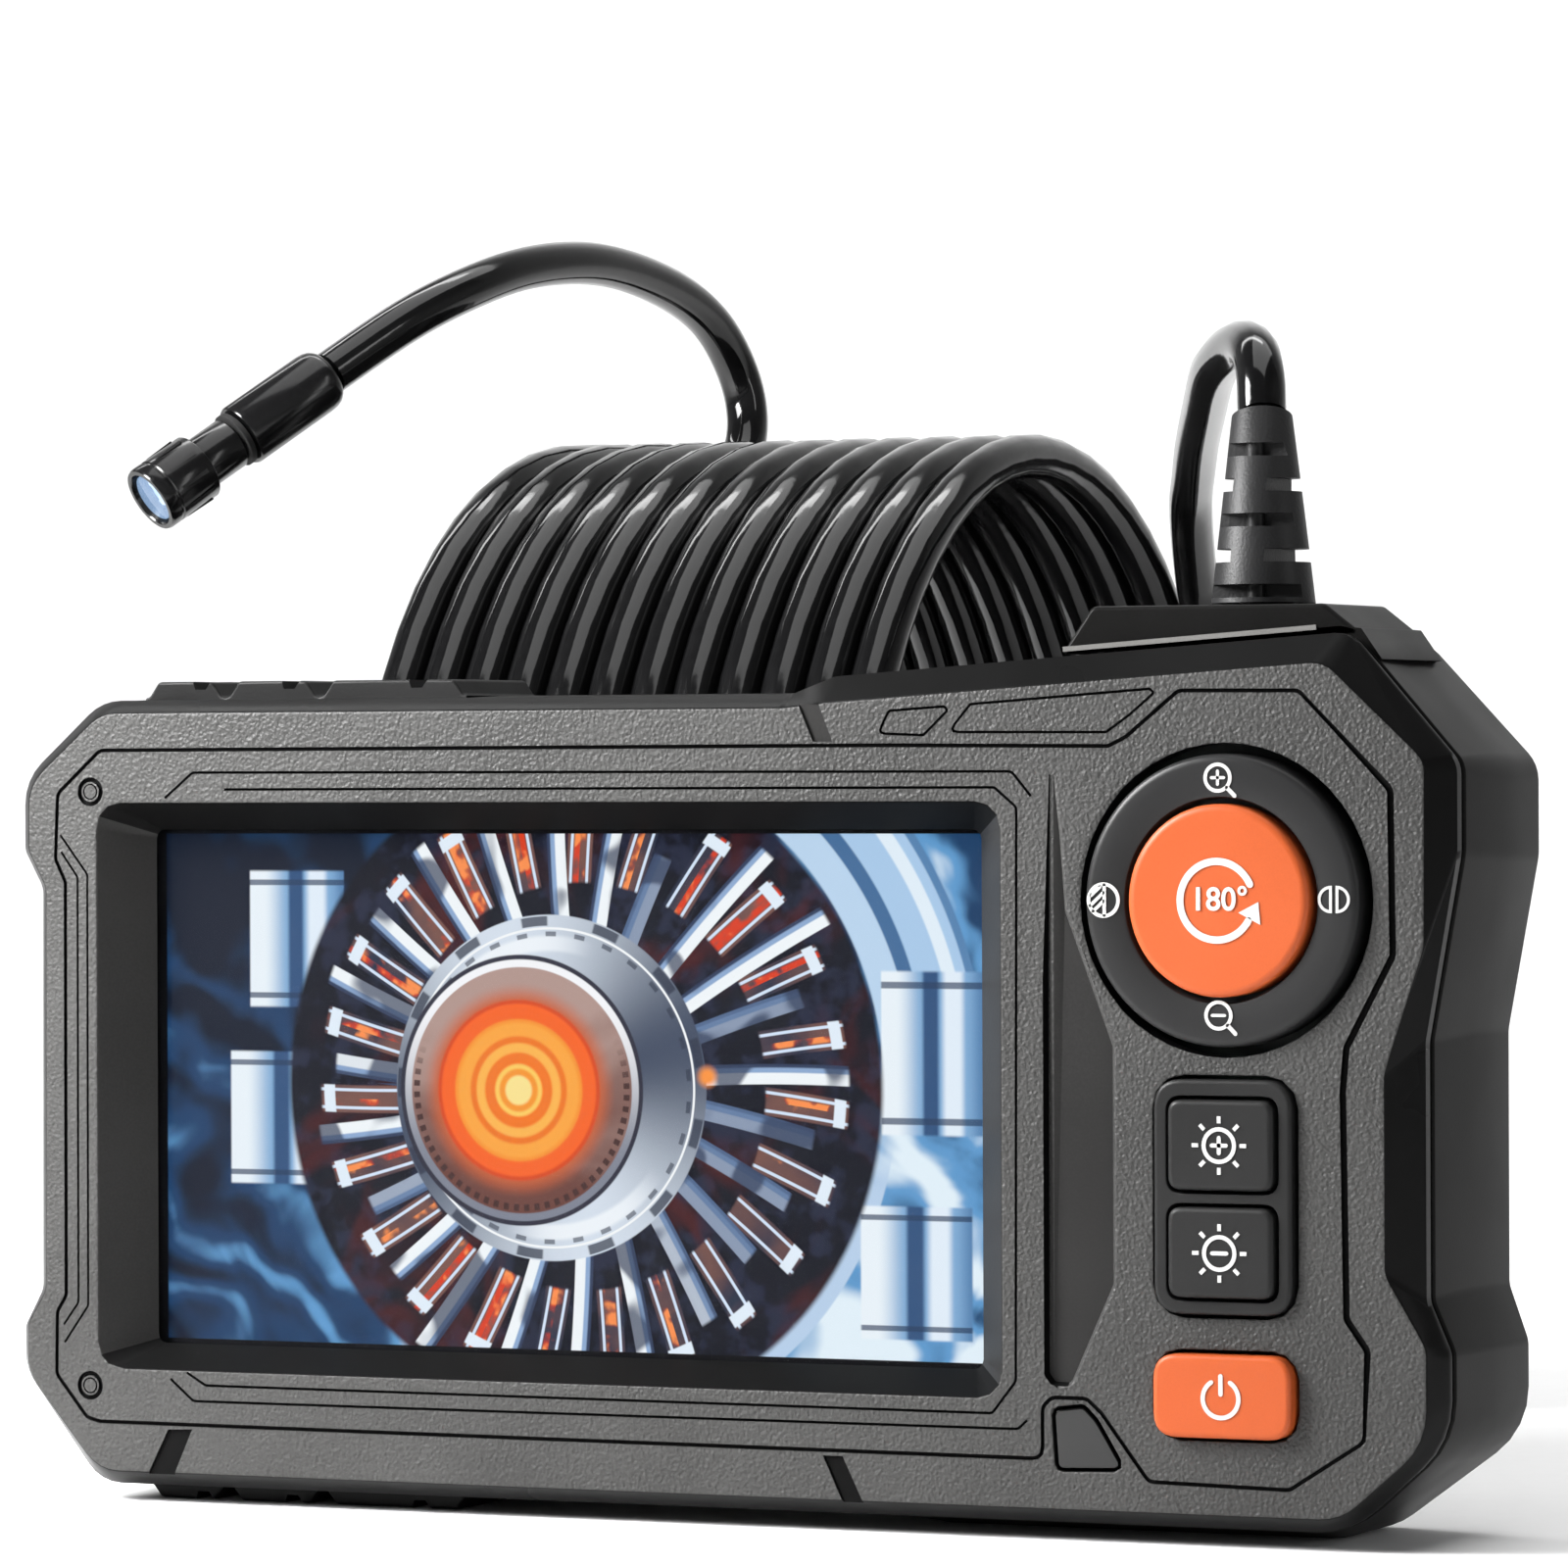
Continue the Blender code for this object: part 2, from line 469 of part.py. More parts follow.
def boards():
    board = block("main_board", BOARD_U, 0, BOARD_WIDE, BOARD_HIGH, BOARD_FROM, BOARD_FROM + BOARD_THICK, 1.5,
                  board_green())
    cut(board, block("board_slot", 44, -20, 8, 10, BOARD_FROM - 1, BOARD_FROM + 3, 1))
    on_board = TRAY_FROM
    block("main_processor", CHIP_U, CHIP_V, CHIP_SIDE, CHIP_SIDE, on_board, on_board + CHIP_THICK, 0.4,
          material("chip", (0.02, 0.02, 0.02), 0.5))
    socket = block("usb_socket", PORTS_LEFT_U + SOCKET_LONG / 2, SOCKET_V, SOCKET_LONG, SOCKET_WIDE,
                   on_board, on_board + SOCKET_THICK, 0.4, steel())
    cut(socket, block("usb_mouth", PORTS_LEFT_U, SOCKET_V, 10.0, SOCKET_WIDE - 1.4,
                      on_board + 0.6, on_board + SOCKET_THICK - 0.6, 0.4))
    slot = block("card_slot", PORTS_LEFT_U + SLOT_LONG / 2, SLOT_V, SLOT_LONG, SLOT_WIDE,
                 on_board, on_board + SLOT_THICK, 0.3, steel())
    cut(slot, block("card_mouth", PORTS_LEFT_U, SLOT_V, 20, SLOT_WIDE - 1.4,
                    on_board + 0.5, on_board + SLOT_THICK - 0.5, 0.2))
    key_board = prism("key_board", rounded(KEY_BOARD), KEY_BOARD_DEPTH, KEY_BOARD_DEPTH + KEY_BOARD_THICK,
                      board_green())
    cut(key_board, disc("cable_notch", BOOT_U, 44, 4.2, KEY_BOARD_DEPTH - 1, KEY_BOARD_DEPTH + 3, count=16))


def battery_and_tray():
    floor = TRAY_FROM + TRAY_FLOOR
    room_wide, room_high = BATTERY_LONG + TRAY_SPARE + 2 * GAP, BATTERY_HIGH + 2 * GAP
    tray = block("battery_tray", TRAY_U, 0, room_wide + 2 * TRAY_WALL, room_high + 2 * TRAY_WALL,
                 TRAY_FROM, floor + TRAY_RIM, 2.0, material("tray_grey", (0.2, 0.2, 0.21), 0.6))
    cut(tray, block("tray_hollow", TRAY_U, 0, room_wide, room_high, floor, floor + 8, 1.2))
    # A corner of the tray stays clear of the processor beside it.
    cut(tray, block("tray_notch", CHIP_U, CHIP_V, CHIP_SIDE + 2, CHIP_SIDE + 2, TRAY_FROM - 1, floor + 8, 0.5))
    block("battery", TRAY_U - TRAY_SPARE / 2, 0, BATTERY_LONG, BATTERY_HIGH,
          floor + GAP, floor + GAP + BATTERY_THICK, 2.5, material("battery_blue", (0.05, 0.12, 0.3), 0.5))


# The controls -----------------------------------------------------------------------------------------
def ring_pad():
    ring = turned("ring_pad", [(-RING_SINK, RING_R), (RING_RISE - 0.4, RING_R), (RING_RISE, RING_R - 0.5)],
                  at(DIAL_U, DIAL_V, 0), Vector((0, -1, 0)), material("pad_grey", (0.05, 0.05, 0.052), 0.5), 48)
    cut(ring, disc("ring_bore", DIAL_U, DIAL_V, CENTRE_R + CENTRE_GAP, -4, 6, count=40))
    rocker = disc("pad_rocker", DIAL_U, DIAL_V, RING_R - 1.0, ROCKER_FROM, ROCKER_FROM + ROCKER_THICK,
                  shell_black(), 32)
    cut(rocker, disc("rocker_bore", DIAL_U, DIAL_V, CENTRE_R - 1.0, 2, 6, count=32))


def centre_button():
    button = turned("centre_button", [(-1.6, CENTRE_R), (BUTTON_RISE - 0.5, CENTRE_R), (BUTTON_RISE, CENTRE_R - 0.6)],
                    at(DIAL_U, DIAL_V, 0), Vector((0, -1, 0)), key_orange(), 40)
    join(button, disc("centre_stem", DIAL_U, DIAL_V, CENTRE_R - 1.8, 1.0, STEM_END, count=24))


def key(name, v, wide, high, rise, radius, look):
    """A rounded key with a narrower stem behind it that reaches its switch."""
    outline = box_corners(KEY_U, v, wide, high, radius)
    cap = loft(name, [ring_at(rounded(inset(outline, 0.4), 3), -rise), ring_at(rounded(outline, 3), 0.4 - rise),
                      ring_at(rounded(outline, 3), KEY_SINK)], look)
    join(cap, block(name + "_stem", KEY_U, v, STEM_SIDE, STEM_SIDE, KEY_SINK - 1, STEM_END, 0.3))


def keys():
    dark = material("key_black", (0.025, 0.025, 0.027), 0.5)
    surround = block("key_surround", KEY_U, SURROUND_V, SURROUND_WIDE, SURROUND_HIGH,
                     -SURROUND_RISE, SURROUND_SINK, SURROUND_CORNER, dark)
    for name, v in (("bright_up_key", KEY_UP_V), ("bright_down_key", KEY_DOWN_V)):
        key(name, v, KEY_WIDE, KEY_HIGH, KEY_RISE, KEY_CORNER, dark)
        cut(surround, block(name + "_hole", KEY_U, v, KEY_WIDE + 2 * KEY_GAP, KEY_HIGH + 2 * KEY_GAP, -3, 5,
                            KEY_CORNER + GAP))
    key("power_button", POWER_V, POWER_WIDE, POWER_HIGH, POWER_RISE, POWER_CORNER, key_orange())


def switches():
    reach = RING_R - 2.6      # the ring pad's switches stand under its rocker
    places = {"up": (DIAL_U, DIAL_V + reach), "down": (DIAL_U, DIAL_V - reach), "left": (DIAL_U - reach, DIAL_V),
              "right": (DIAL_U + reach, DIAL_V), "centre": (DIAL_U, DIAL_V), "bright_up": (KEY_U, KEY_UP_V),
              "bright_down": (KEY_U, KEY_DOWN_V), "power": (KEY_U, POWER_V)}
    for name, (u, v) in places.items():
        body = block("switch_" + name, u, v, SWITCH_SIDE, SWITCH_SIDE, SWITCH_FROM + 0.3, KEY_BOARD_DEPTH - GAP, 0.3,
                     material("switch_black", (0.03, 0.03, 0.03), 0.5))
        join(body, disc(f"switch_{name}_dome", u, v, 1.0, SWITCH_FROM, SWITCH_FROM + 0.6, count=12))


def indicator():
    prism("indicator_window", rounded(INDICATOR, 2), 0.1, 2.0, material("smoked", (0.01, 0.01, 0.01), 0.1))


# Screws -----------------------------------------------------------------------------------------------
def screws():
    seat = SCREW_SEAT_DEPTH + GAP
    for number, (u, v) in enumerate(SCREW_PLACES, 1):
        screw = turned(f"case_screw_{number}", [
            (0, SCREW_SHANK_R * 0.6), (0.8, SCREW_SHANK_R), (seat - 5.0, SCREW_SHANK_R),
            (seat - 5.0, SCREW_HEAD_R), (seat - 5.0 + SCREW_HEAD_THICK * 0.6, SCREW_HEAD_R),
            (seat - 5.0 + SCREW_HEAD_THICK, SCREW_HEAD_R * 0.7),
        ], at(u, v, 5.0), Vector((0, 1, 0)), steel(), 16)
        top = seat + SCREW_HEAD_THICK
        cut(screw, block(f"slot_a_{number}", u, v, 2.4, 0.6, top - 0.9, top + 1, 0.05))
        cut(screw, block(f"slot_b_{number}", u, v, 0.6, 2.4, top - 0.9, top + 1, 0.05))


# The cable's outlet -----------------------------------------------------------------------------------
def gland_block():
    slope = (RIM[17][1] - RIM[18][1]) / (RIM[17][0] - RIM[18][0])

    def under(u):
        return RIM[18][1] + (u - RIM[18][0]) * slope + GAP

    outline = [(57.0, under(57.0), 0.2), (87.2, under(87.2), 0.3), (89.8, 46.5, 0.3),
               (85.4, BLOCK_TOP_V, 1.0), (60.4, BLOCK_TOP_V, 1.0)]
    lid = prism("gland_block", rounded(outline), BACK_FROM, BACK_FROM + BLOCK_LONG, shell_black())
    cut(lid, cable_way("gland_bore", 42.0))
    nut_from = NECK_END_V + 1.5
    nut = turned("gland_nut", [(0, NUT_R), (NUT_THICK, NUT_R)], at(BOOT_U, nut_from, BOOT_D), Vector((0, 0, 1)),
                 material("brass", (0.6, 0.45, 0.15), 0.35, 1.0), 6)
    cut(nut, turned("nut_bore", [(0, NECK_R + GAP), (6, NECK_R + GAP)], at(BOOT_U, nut_from - 2, BOOT_D),
                    Vector((0, 0, 1)), None, 20))


def boot_centre(share):
    """The middle of the strain relief at this share of its height: it leans back towards its top."""
    lean = share * share
    return at(BOOT_U + BOOT_LEAN_U * lean, BLOCK_TOP_V + GAP + BOOT_LONG * share, BOOT_D + BOOT_LEAN_D * lean)


def strain_relief():
    rings = []
    count = 24
    for place in (at(BOOT_U, NECK_END_V, BOOT_D), boot_centre(0)):
        rings.append([place + Vector((mm(p.x), mm(p.y), 0)) for p in circle_points(0, 0, NECK_R, count)])
    for share in [k / 8 for k in range(9)]:
        radius = BOOT_BASE_R + (BOOT_TOP_R - BOOT_BASE_R) * share
        ahead = boot_centre(min(1, share + 0.05)) - boot_centre(max(0, share - 0.05))
        turn = Vector((0, 0, 1)).rotation_difference(ahead).to_matrix()
        spots = circle_points(0, 0, radius, count)
        rings.append([boot_centre(share) + turn @ Vector((mm(p.x), mm(p.y), 0)) for p in spots])
    boot = loft("strain_relief", rings, rubber_black())
    # Pairs of slots, by turns in the boot's front and back and in its sides.
    for number in range(BOOT_SLOTS):
        middle = boot_centre((SLOT_FIRST + number * SLOT_PITCH) / BOOT_LONG)
        sides = ((-1, 0), (1, 0)) if number % 2 else ((0, -1), (0, 1))
        for side, (x, y) in enumerate(sides):
            centre = middle + Vector((mm(x * SLOT_OUT), mm(y * SLOT_OUT), 0))
            half = Vector((mm(SLOT_REACH if x else 7), mm(SLOT_REACH if y else 7), mm(SLOT_HIGH / 2)))
            corners = [(-1, -1), (1, -1), (1, 1), (-1, 1)]
            ends = [[centre + Vector((half.x * a, half.y * b, half.z * c)) for a, b in corners] for c in (-1, 1)]
            cut(boot, loft(f"boot_slot_{number}_{side}", ends))
    smooth(boot)


# The cable and the probe ------------------------------------------------------------------------------
def smooth_route(route, step):
    """Points every step metres along a smooth curve through the route's own points."""
    fine = []
    for i in range(len(route) - 1):
        p0, p1 = Vector(route[max(0, i - 1)]), Vector(route[i])
        p2, p3 = Vector(route[i + 1]), Vector(route[min(len(route) - 1, i + 2)])
        for k in range(20):
            t = k / 20
            fine.append(0.5 * (2 * p1 + (p2 - p0) * t + (2 * p0 - 5 * p1 + 4 * p2 - p3) * t ** 2
                               + (3 * p1 - p0 - 3 * p2 + p3) * t ** 3))
    fine.append(Vector(route[-1]))
    total = sum((b - a).length for a, b in zip(fine, fine[1:]))
    count = max(2, round(total / step))
    points, walked, target = [fine[0]], 0.0, total / count
    for a, b in zip(fine, fine[1:]):
        length = (b - a).length
        while walked + length >= target - 1e-9 and len(points) < count:
            points.append(a.lerp(b, (target - walked) / length))
            target += total / count
        walked += length
    points.append(fine[-1])
    return points


def tube(name, route):
    curve = bpy.data.curves.new(name, "CURVE")
    curve.dimensions = "3D"
    points = smooth_route(route, mm(CABLE_R * 4.4))
    spline = curve.splines.new("POLY")
    spline.points.add(len(points) - 1)
    for spot, point in zip(spline.points, points):
        spot.co = (*point, 1)
    curve.bevel_depth = mm(CABLE_R)
    curve.bevel_resolution = 3
    curve.use_fill_caps = True
    curve.materials.append(cable_black())
    thing = bpy.data.objects.new(name, curve)
    bpy.context.scene.collection.objects.link(thing)
    return thing


def coil():
    """The coiled cable's outer shape: a hollow ring that stands on the surface behind the handset."""
    start = Vector((mm(COIL_LEFT_X), mm(COIL_CENTRE_Y), mm(COIL_OUTER_R)))
    long = COIL_RIGHT_X - COIL_LEFT_X
    ring = turned("cable_coil", [(0, COIL_OUTER_R), (long, COIL_OUTER_R)], start, Vector((1, 0, 0)),
                  cable_black(), 64)
    inner = COIL_OUTER_R - 2 * CABLE_R
    cut(ring, turned("coil_hollow", [(-9, inner), (long + 9, inner)], start, Vector((1, 0, 0)), None, 64))
    return ring


def probe():
    start = Vector(LEAD_ROUTE[-1]) + PROBE_DIRECTION * mm(GAP)
    black = material("probe_black", (0.012, 0.012, 0.013), 0.25)

    def part(name, profile, look=None):
        return turned(name, profile, start, PROBE_DIRECTION, look)

    part("probe_collar", [(0, CABLE_R + 0.1), (COLLAR_ROUND * 0.3, COLLAR_R - 0.4), (COLLAR_ROUND, COLLAR_R),
                          (COLLAR_LONG, COLLAR_R)], black)
    seal_from = COLLAR_LONG + GAP
    part("probe_seal", [(seal_from, COLLAR_R - 0.4), (seal_from + SEAL_THICK, COLLAR_R - 0.4)], rubber_black())
    body_from = seal_from + SEAL_THICK + GAP
    neck_to, body_to = body_from + PROBE_NECK_LONG, body_from + PROBE_LONG
    body = part("probe_body", [(body_from, PROBE_NECK_R), (neck_to, PROBE_NECK_R), (neck_to + 0.1, PROBE_R),
                               (body_to, PROBE_R)], black)
    cut(body, part("probe_bore", [(neck_to + 1, PROBE_R - PROBE_WALL), (body_to + 2, PROBE_R - PROBE_WALL)]))
    inside_r = PROBE_R - PROBE_WALL - GAP
    lens_to = body_to - LENS_SINK
    lens_from = lens_to - LENS_THICK
    led_to = lens_from - GAP
    part("camera_module", [(neck_to + 1 + GAP, MODULE_R), (led_to, MODULE_R)],
         material("lens_black", (0.01, 0.01, 0.012), 0.1))
    leds = part("led_ring", [(led_to - LED_BOARD_THICK, inside_r), (led_to, inside_r)],
                material("led_board", (0.75, 0.75, 0.7), 0.4))
    cut(leds, part("led_bore", [(led_to - 3, MODULE_R + GAP), (led_to + 1, MODULE_R + GAP)]))
    part("probe_window", [(lens_from, inside_r), (lens_to, inside_r)], clear_glass())


def main():
    for thing in list(bpy.data.objects):
        bpy.data.objects.remove(thing)
    front_shell()
    back_shell()
    shell_gasket()
    grip_pad("top_grip_pad", 1, RIM[0][1])
    grip_pad("bottom_grip_pad", -1, -RIM[7][1])
    port_cover()
    display()
    boards()
    battery_and_tray()
    ring_pad()
    centre_button()
    keys()
    switches()
    indicator()
    screws()
    gland_block()
    strain_relief()
    tube("cable_riser", RISER_ROUTE)
    coil()
    tube("cable_lead", LEAD_ROUTE)
    probe()


main()
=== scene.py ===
# Inspection camera: the finished looks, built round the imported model.
# Metres, +Z up, the display faces -Y. Sizes in the dictionaries are millimetres unless they say otherwise.
import math

import bmesh
import bpy
from mathutils import Matrix, Vector


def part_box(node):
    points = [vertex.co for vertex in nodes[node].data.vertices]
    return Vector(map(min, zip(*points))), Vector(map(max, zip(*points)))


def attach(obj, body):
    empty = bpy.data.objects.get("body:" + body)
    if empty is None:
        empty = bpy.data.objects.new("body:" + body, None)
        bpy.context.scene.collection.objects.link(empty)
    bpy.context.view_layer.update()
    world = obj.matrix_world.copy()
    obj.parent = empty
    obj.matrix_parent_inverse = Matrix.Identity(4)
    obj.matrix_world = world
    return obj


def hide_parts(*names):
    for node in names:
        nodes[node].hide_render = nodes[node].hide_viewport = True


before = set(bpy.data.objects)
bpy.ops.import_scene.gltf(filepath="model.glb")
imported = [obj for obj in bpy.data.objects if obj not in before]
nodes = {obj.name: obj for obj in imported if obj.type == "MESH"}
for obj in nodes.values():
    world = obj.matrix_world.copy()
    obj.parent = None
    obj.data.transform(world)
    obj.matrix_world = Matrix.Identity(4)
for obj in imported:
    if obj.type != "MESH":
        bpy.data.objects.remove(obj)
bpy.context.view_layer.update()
scene = bpy.context.scene
scene.view_settings.view_transform = "Standard"

shellLow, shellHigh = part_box("front_shell")
windowLow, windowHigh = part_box("display_window")
screenMiddle = (windowLow + windowHigh) / 2


def mm(value):
    return value / 1000


def place(u, v, d):
    # u right and v up from the display's centre, d into the body from its front face
    return Vector((screenMiddle.x + mm(u), shellLow.y + mm(d), screenMiddle.z + mm(v)))


# ---- camera, studio and floor
view = {
    "azimuth": 24.88, "elevation": 0.124, "roll": -0.234,    # degrees
    "target": (9.4, -12.9, 76.2), "distance": 770.0, "lens": 173.2,
}


def makeCamera():
    a, e = math.radians(view["azimuth"]), math.radians(view["elevation"])
    back = Vector((math.sin(a) * math.cos(e), -math.cos(a) * math.cos(e), math.sin(e)))
    data = bpy.data.cameras.new("camera")
    data.lens = view["lens"]
    data.clip_start, data.clip_end = 0.02, 20
    camera = bpy.data.objects.new("camera", data)
    scene.collection.objects.link(camera)
    camera.location = Vector([mm(x) for x in view["target"]]) + back * mm(view["distance"])
    turn = (-back).to_track_quat("-Z", "Y").to_matrix().to_4x4()
    camera.rotation_euler = (turn @ Matrix.Rotation(math.radians(view["roll"]), 4, "Z")).to_euler()
    scene.camera = camera


studio = {
    "lights": [    # name, place in m, aims at in m, wide and high in m, watts
        ("keySoftbox", (-0.36, -0.32, 0.32), (-0.03, 0.0, 0.07), 0.16, 0.26, 3.4),
        ("nearSoftbox", (-0.16, -0.12, 0.20), (-0.03, 0.0, 0.09), 0.08, 0.12, 1.7),
        ("sideStrip", (0.80, -0.05, 0.22), (0.06, 0.0, 0.05), 0.10, 0.6, 0.8),
        ("topSoftbox", (0.1, 0.1, 1.2), (0.0, 0.1, 0.0), 1.4, 1.0, 10.5),
        ("wallWash", (-0.9, 0.7, 1.5), (-0.9, 1.9, 0.25), 2.0, 0.5, 24.0),
    ],
    "sideGlow": 0.30, "topGlow": 0.10, "glowFrom": 0.15, "glowTo": 0.75,
    "floorWide": 6.0, "sweepFrom": 1.2, "sweepRadius": 0.8, "sweepSteps": 12, "wallHigh": 4.0,
}


def makeStudio():
    for name, spot, aim, wide, high, watts in studio["lights"]:
        data = bpy.data.lights.new(name, "AREA")
        data.shape, data.size, data.size_y, data.energy = "RECTANGLE", wide, high, watts
        lamp = bpy.data.objects.new(name, data)
        scene.collection.objects.link(lamp)
        lamp.location = spot
        lamp.visible_camera = False
        lamp.rotation_euler = (Vector(aim) - Vector(spot)).to_track_quat("-Z", "Y").to_euler()
    world = bpy.data.worlds.new("studioWorld")
    world.use_nodes = True
    scene.world = world
    tree = world.node_tree
    where = add(tree, "ShaderNodeTexCoord")
    split = add(tree, "ShaderNodeSeparateXYZ", {0: where.outputs["Generated"]})
    glow = add(tree, "ShaderNodeMapRange",
               {0: split.outputs["Z"], 1: studio["glowFrom"], 2: studio["glowTo"], 3: studio["sideGlow"],
                4: studio["topGlow"]}, interpolation_type="SMOOTHSTEP")
    feed(tree, tree.nodes["Background"], {"Strength": glow.outputs[0], "Color": (1, 1, 1, 1)})


def makeFloor():
    half, start, radius = studio["floorWide"] / 2, studio["sweepFrom"], studio["sweepRadius"]
    profile = [(-half, 0.0)]
    for k in range(studio["sweepSteps"] + 1):
        turn = math.radians(90 * k / studio["sweepSteps"])
        profile.append((start + radius * math.sin(turn), radius * (1 - math.cos(turn))))
    profile.append((start + radius, studio["wallHigh"]))
    bm = bmesh.new()
    rows = [[bm.verts.new((side * half, y, z)) for y, z in profile] for side in (-1, 1)]
    for k in range(len(profile) - 1):
        bm.faces.new((rows[0][k], rows[1][k], rows[1][k + 1], rows[0][k + 1]))
    solid("paleFloor", bm, "floorPaper")


# ---- meshes
def feed(tree, node, inputs):
    # sets a node's inputs: a socket is linked, and anything else is its value
    for key, value in inputs.items():
        if isinstance(value, bpy.types.NodeSocket):
            tree.links.new(value, node.inputs[key])
        else:
            node.inputs[key].default_value = value
    return node


def add(tree, kind, inputs=None, **settings):
    made = tree.nodes.new(kind)
    for key, value in settings.items():
        setattr(made, key, value)
    return feed(tree, made, inputs or {})


def fromBmesh(name, bm, degrees=32):
    bmesh.ops.recalc_face_normals(bm, faces=bm.faces)
    mesh = bpy.data.meshes.new(name)
    bm.to_mesh(mesh)
    bm.free()
    return fromMesh(name, mesh, degrees)


def fromMesh(name, mesh, degrees=32):
    piece = bpy.data.objects.new(name, mesh)
    scene.collection.objects.link(piece)
    soften(piece, degrees)
    return piece


def solid(name, bm, finish, degrees=32):
    return paint(fromBmesh(name, bm, degrees), finish)


def soften(piece, degrees=32):
    piece.data.shade_smooth()
    piece.data.set_sharp_from_angle(angle=math.radians(degrees))


def bake(piece):
    # the modifiers' result becomes the piece's own mesh
    graph = bpy.context.evaluated_depsgraph_get()
    finished = bpy.data.meshes.new_from_object(piece.evaluated_get(graph))
    piece.modifiers.clear()
    piece.data = finished
    return piece


def even(piece, degrees=40):
    # weighted normals, so that wide flat faces stay flat beside their rounded edges
    soften(piece, degrees)
    piece.modifiers.new("even", "WEIGHTED_NORMAL").keep_sharp = True
    return bake(piece)


def bevel(piece, width, segments=2, degrees=30):
    edge = piece.modifiers.new("edge", "BEVEL")
    edge.width, edge.segments, edge.limit_method = mm(width), segments, "ANGLE"
    edge.angle_limit = math.radians(degrees)
    edge.use_clamp_overlap = False
    edge.miter_outer = "MITER_ARC"
    return bake(piece)


def bevelWhere(piece, width, chooser):
    # rounds only the sharp edges whose two ends the chooser wants
    bm = bmesh.new()
    bm.from_mesh(piece.data)
    chosen = [e for e in bm.edges if len(e.link_faces) == 2 and e.calc_face_angle(0) > math.radians(20)
              and all(chooser(*faceSpot(v.co)) for v in e.verts)]
    bmesh.ops.bevel(bm, geom=chosen, offset=mm(width), offset_type="OFFSET", segments=2, profile=0.5,
                    affect="EDGES", clamp_overlap=False, loop_slide=True, material=-1)
    bm.to_mesh(piece.data)
    bm.free()
    return piece


def cut(piece, *cutters):
    for cutter in cutters:
        away = piece.modifiers.new("cut", "BOOLEAN")
        away.object, away.operation, away.solver = cutter, "DIFFERENCE", "EXACT"
        bake(piece)
        bpy.data.objects.remove(cutter)
    return piece


def merge(piece, *others):
    # the others' meshes become part of the piece, with their own finishes
    bm = bmesh.new()
    bm.from_mesh(piece.data)
    for other in others:
        known = list(piece.data.materials)
        indexes = []
        for material in other.data.materials:
            if material not in known:
                piece.data.materials.append(material)
                known.append(material)
            indexes.append(known.index(material))
        count = len(bm.faces)
        bm.from_mesh(other.data)
        bm.faces.ensure_lookup_table()
        for face in bm.faces[count:]:
            face.material_index = indexes[face.material_index]
        bpy.data.objects.remove(other)
    bm.to_mesh(piece.data)
    bm.free()
    return piece


def cadCopy(nodeName, pieceName):
    # a merged copy of a CAD node, with its loose triangles joined into whole faces
    source = nodes[nodeName].data
    mesh = bpy.data.meshes.new(pieceName)
    mesh.from_pydata([v.co for v in source.vertices], [], [p.vertices for p in source.polygons])
    bm = bmesh.new()
    bm.from_mesh(mesh)
    bmesh.ops.remove_doubles(bm, verts=bm.verts, dist=mm(0.004))
    bmesh.ops.dissolve_limit(bm, angle_limit=math.radians(0.5), verts=bm.verts, edges=bm.edges)
    bm.to_mesh(mesh)
    bm.free()
    return fromMesh(pieceName, mesh)


def settle(piece, body, slot, *replaced):
    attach(piece, body)
    if replaced:
        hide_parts(*replaced)
    return piece


def paint(piece, *names, chooser=None):
    piece.data.materials.clear()
    for name in names:
        piece.data.materials.append(finishes[name])
    if chooser:
        for face in piece.data.polygons:
            face.material_index = chooser(face.center, face.normal)
    return piece


# ---- outlines on the face
def faceSpot(point):
    # the u, v and d of a point, in mm
    return tuple(1000 * value for value in
                 (point.x - screenMiddle.x, point.z - screenMiddle.z, point.y - shellLow.y))


def roundCorners(corners, steps=4, closed=True):
    points = []
    count = len(corners)
    for i, (u, v, radius) in enumerate(corners):
        here = Vector((u, v))
        if not closed and i in (0, count - 1):
            points.append(here)
            continue
        back, ahead = Vector(corners[i - 1][:2]) - here, Vector(corners[(i + 1) % count][:2]) - here
        half = (math.pi - back.angle(ahead)) / 2
        reach = min(radius * math.tan(half), 0.48 * min(back.length, ahead.length))
        start, end = here + back.normalized() * reach, here + ahead.normalized() * reach
        for k in range(steps + 1):
            t = k / steps
            points.append(start * (1 - t) ** 2 + here * 2 * t * (1 - t) + end * t * t)
    return points


def boxCorners(u, v, wide, high, radius):
    left, right, low, top = u - wide / 2, u + wide / 2, v - high / 2, v + high / 2
    return [(left, low, radius), (right, low, radius), (right, top, radius), (left, top, radius)]


def arc(u, v, radius, start=0, end=360, steps=32):
    closed = end - start == 360
    count = steps if closed else steps + 1
    angles = [math.radians(start + (end - start) * k / steps) for k in range(count)]
    return [Vector((u + radius * math.cos(a), v + radius * math.sin(a))) for a in angles]


def sideways(line, amounts, closed):
    moved = []
    count = len(line)
    for i, here in enumerate(line):
        before = here - line[i - 1] if closed or i else line[1] - here
        after = line[(i + 1) % count] - here if closed or i < count - 1 else before
        before, after = before.normalized(), after.normalized()
        normal = Vector((-(before + after).y, (before + after).x)).normalized()
        reach = amounts[i] / max(0.4, normal.dot(Vector((-before.y, before.x))))
        moved.append(here + normal * reach)
    return moved


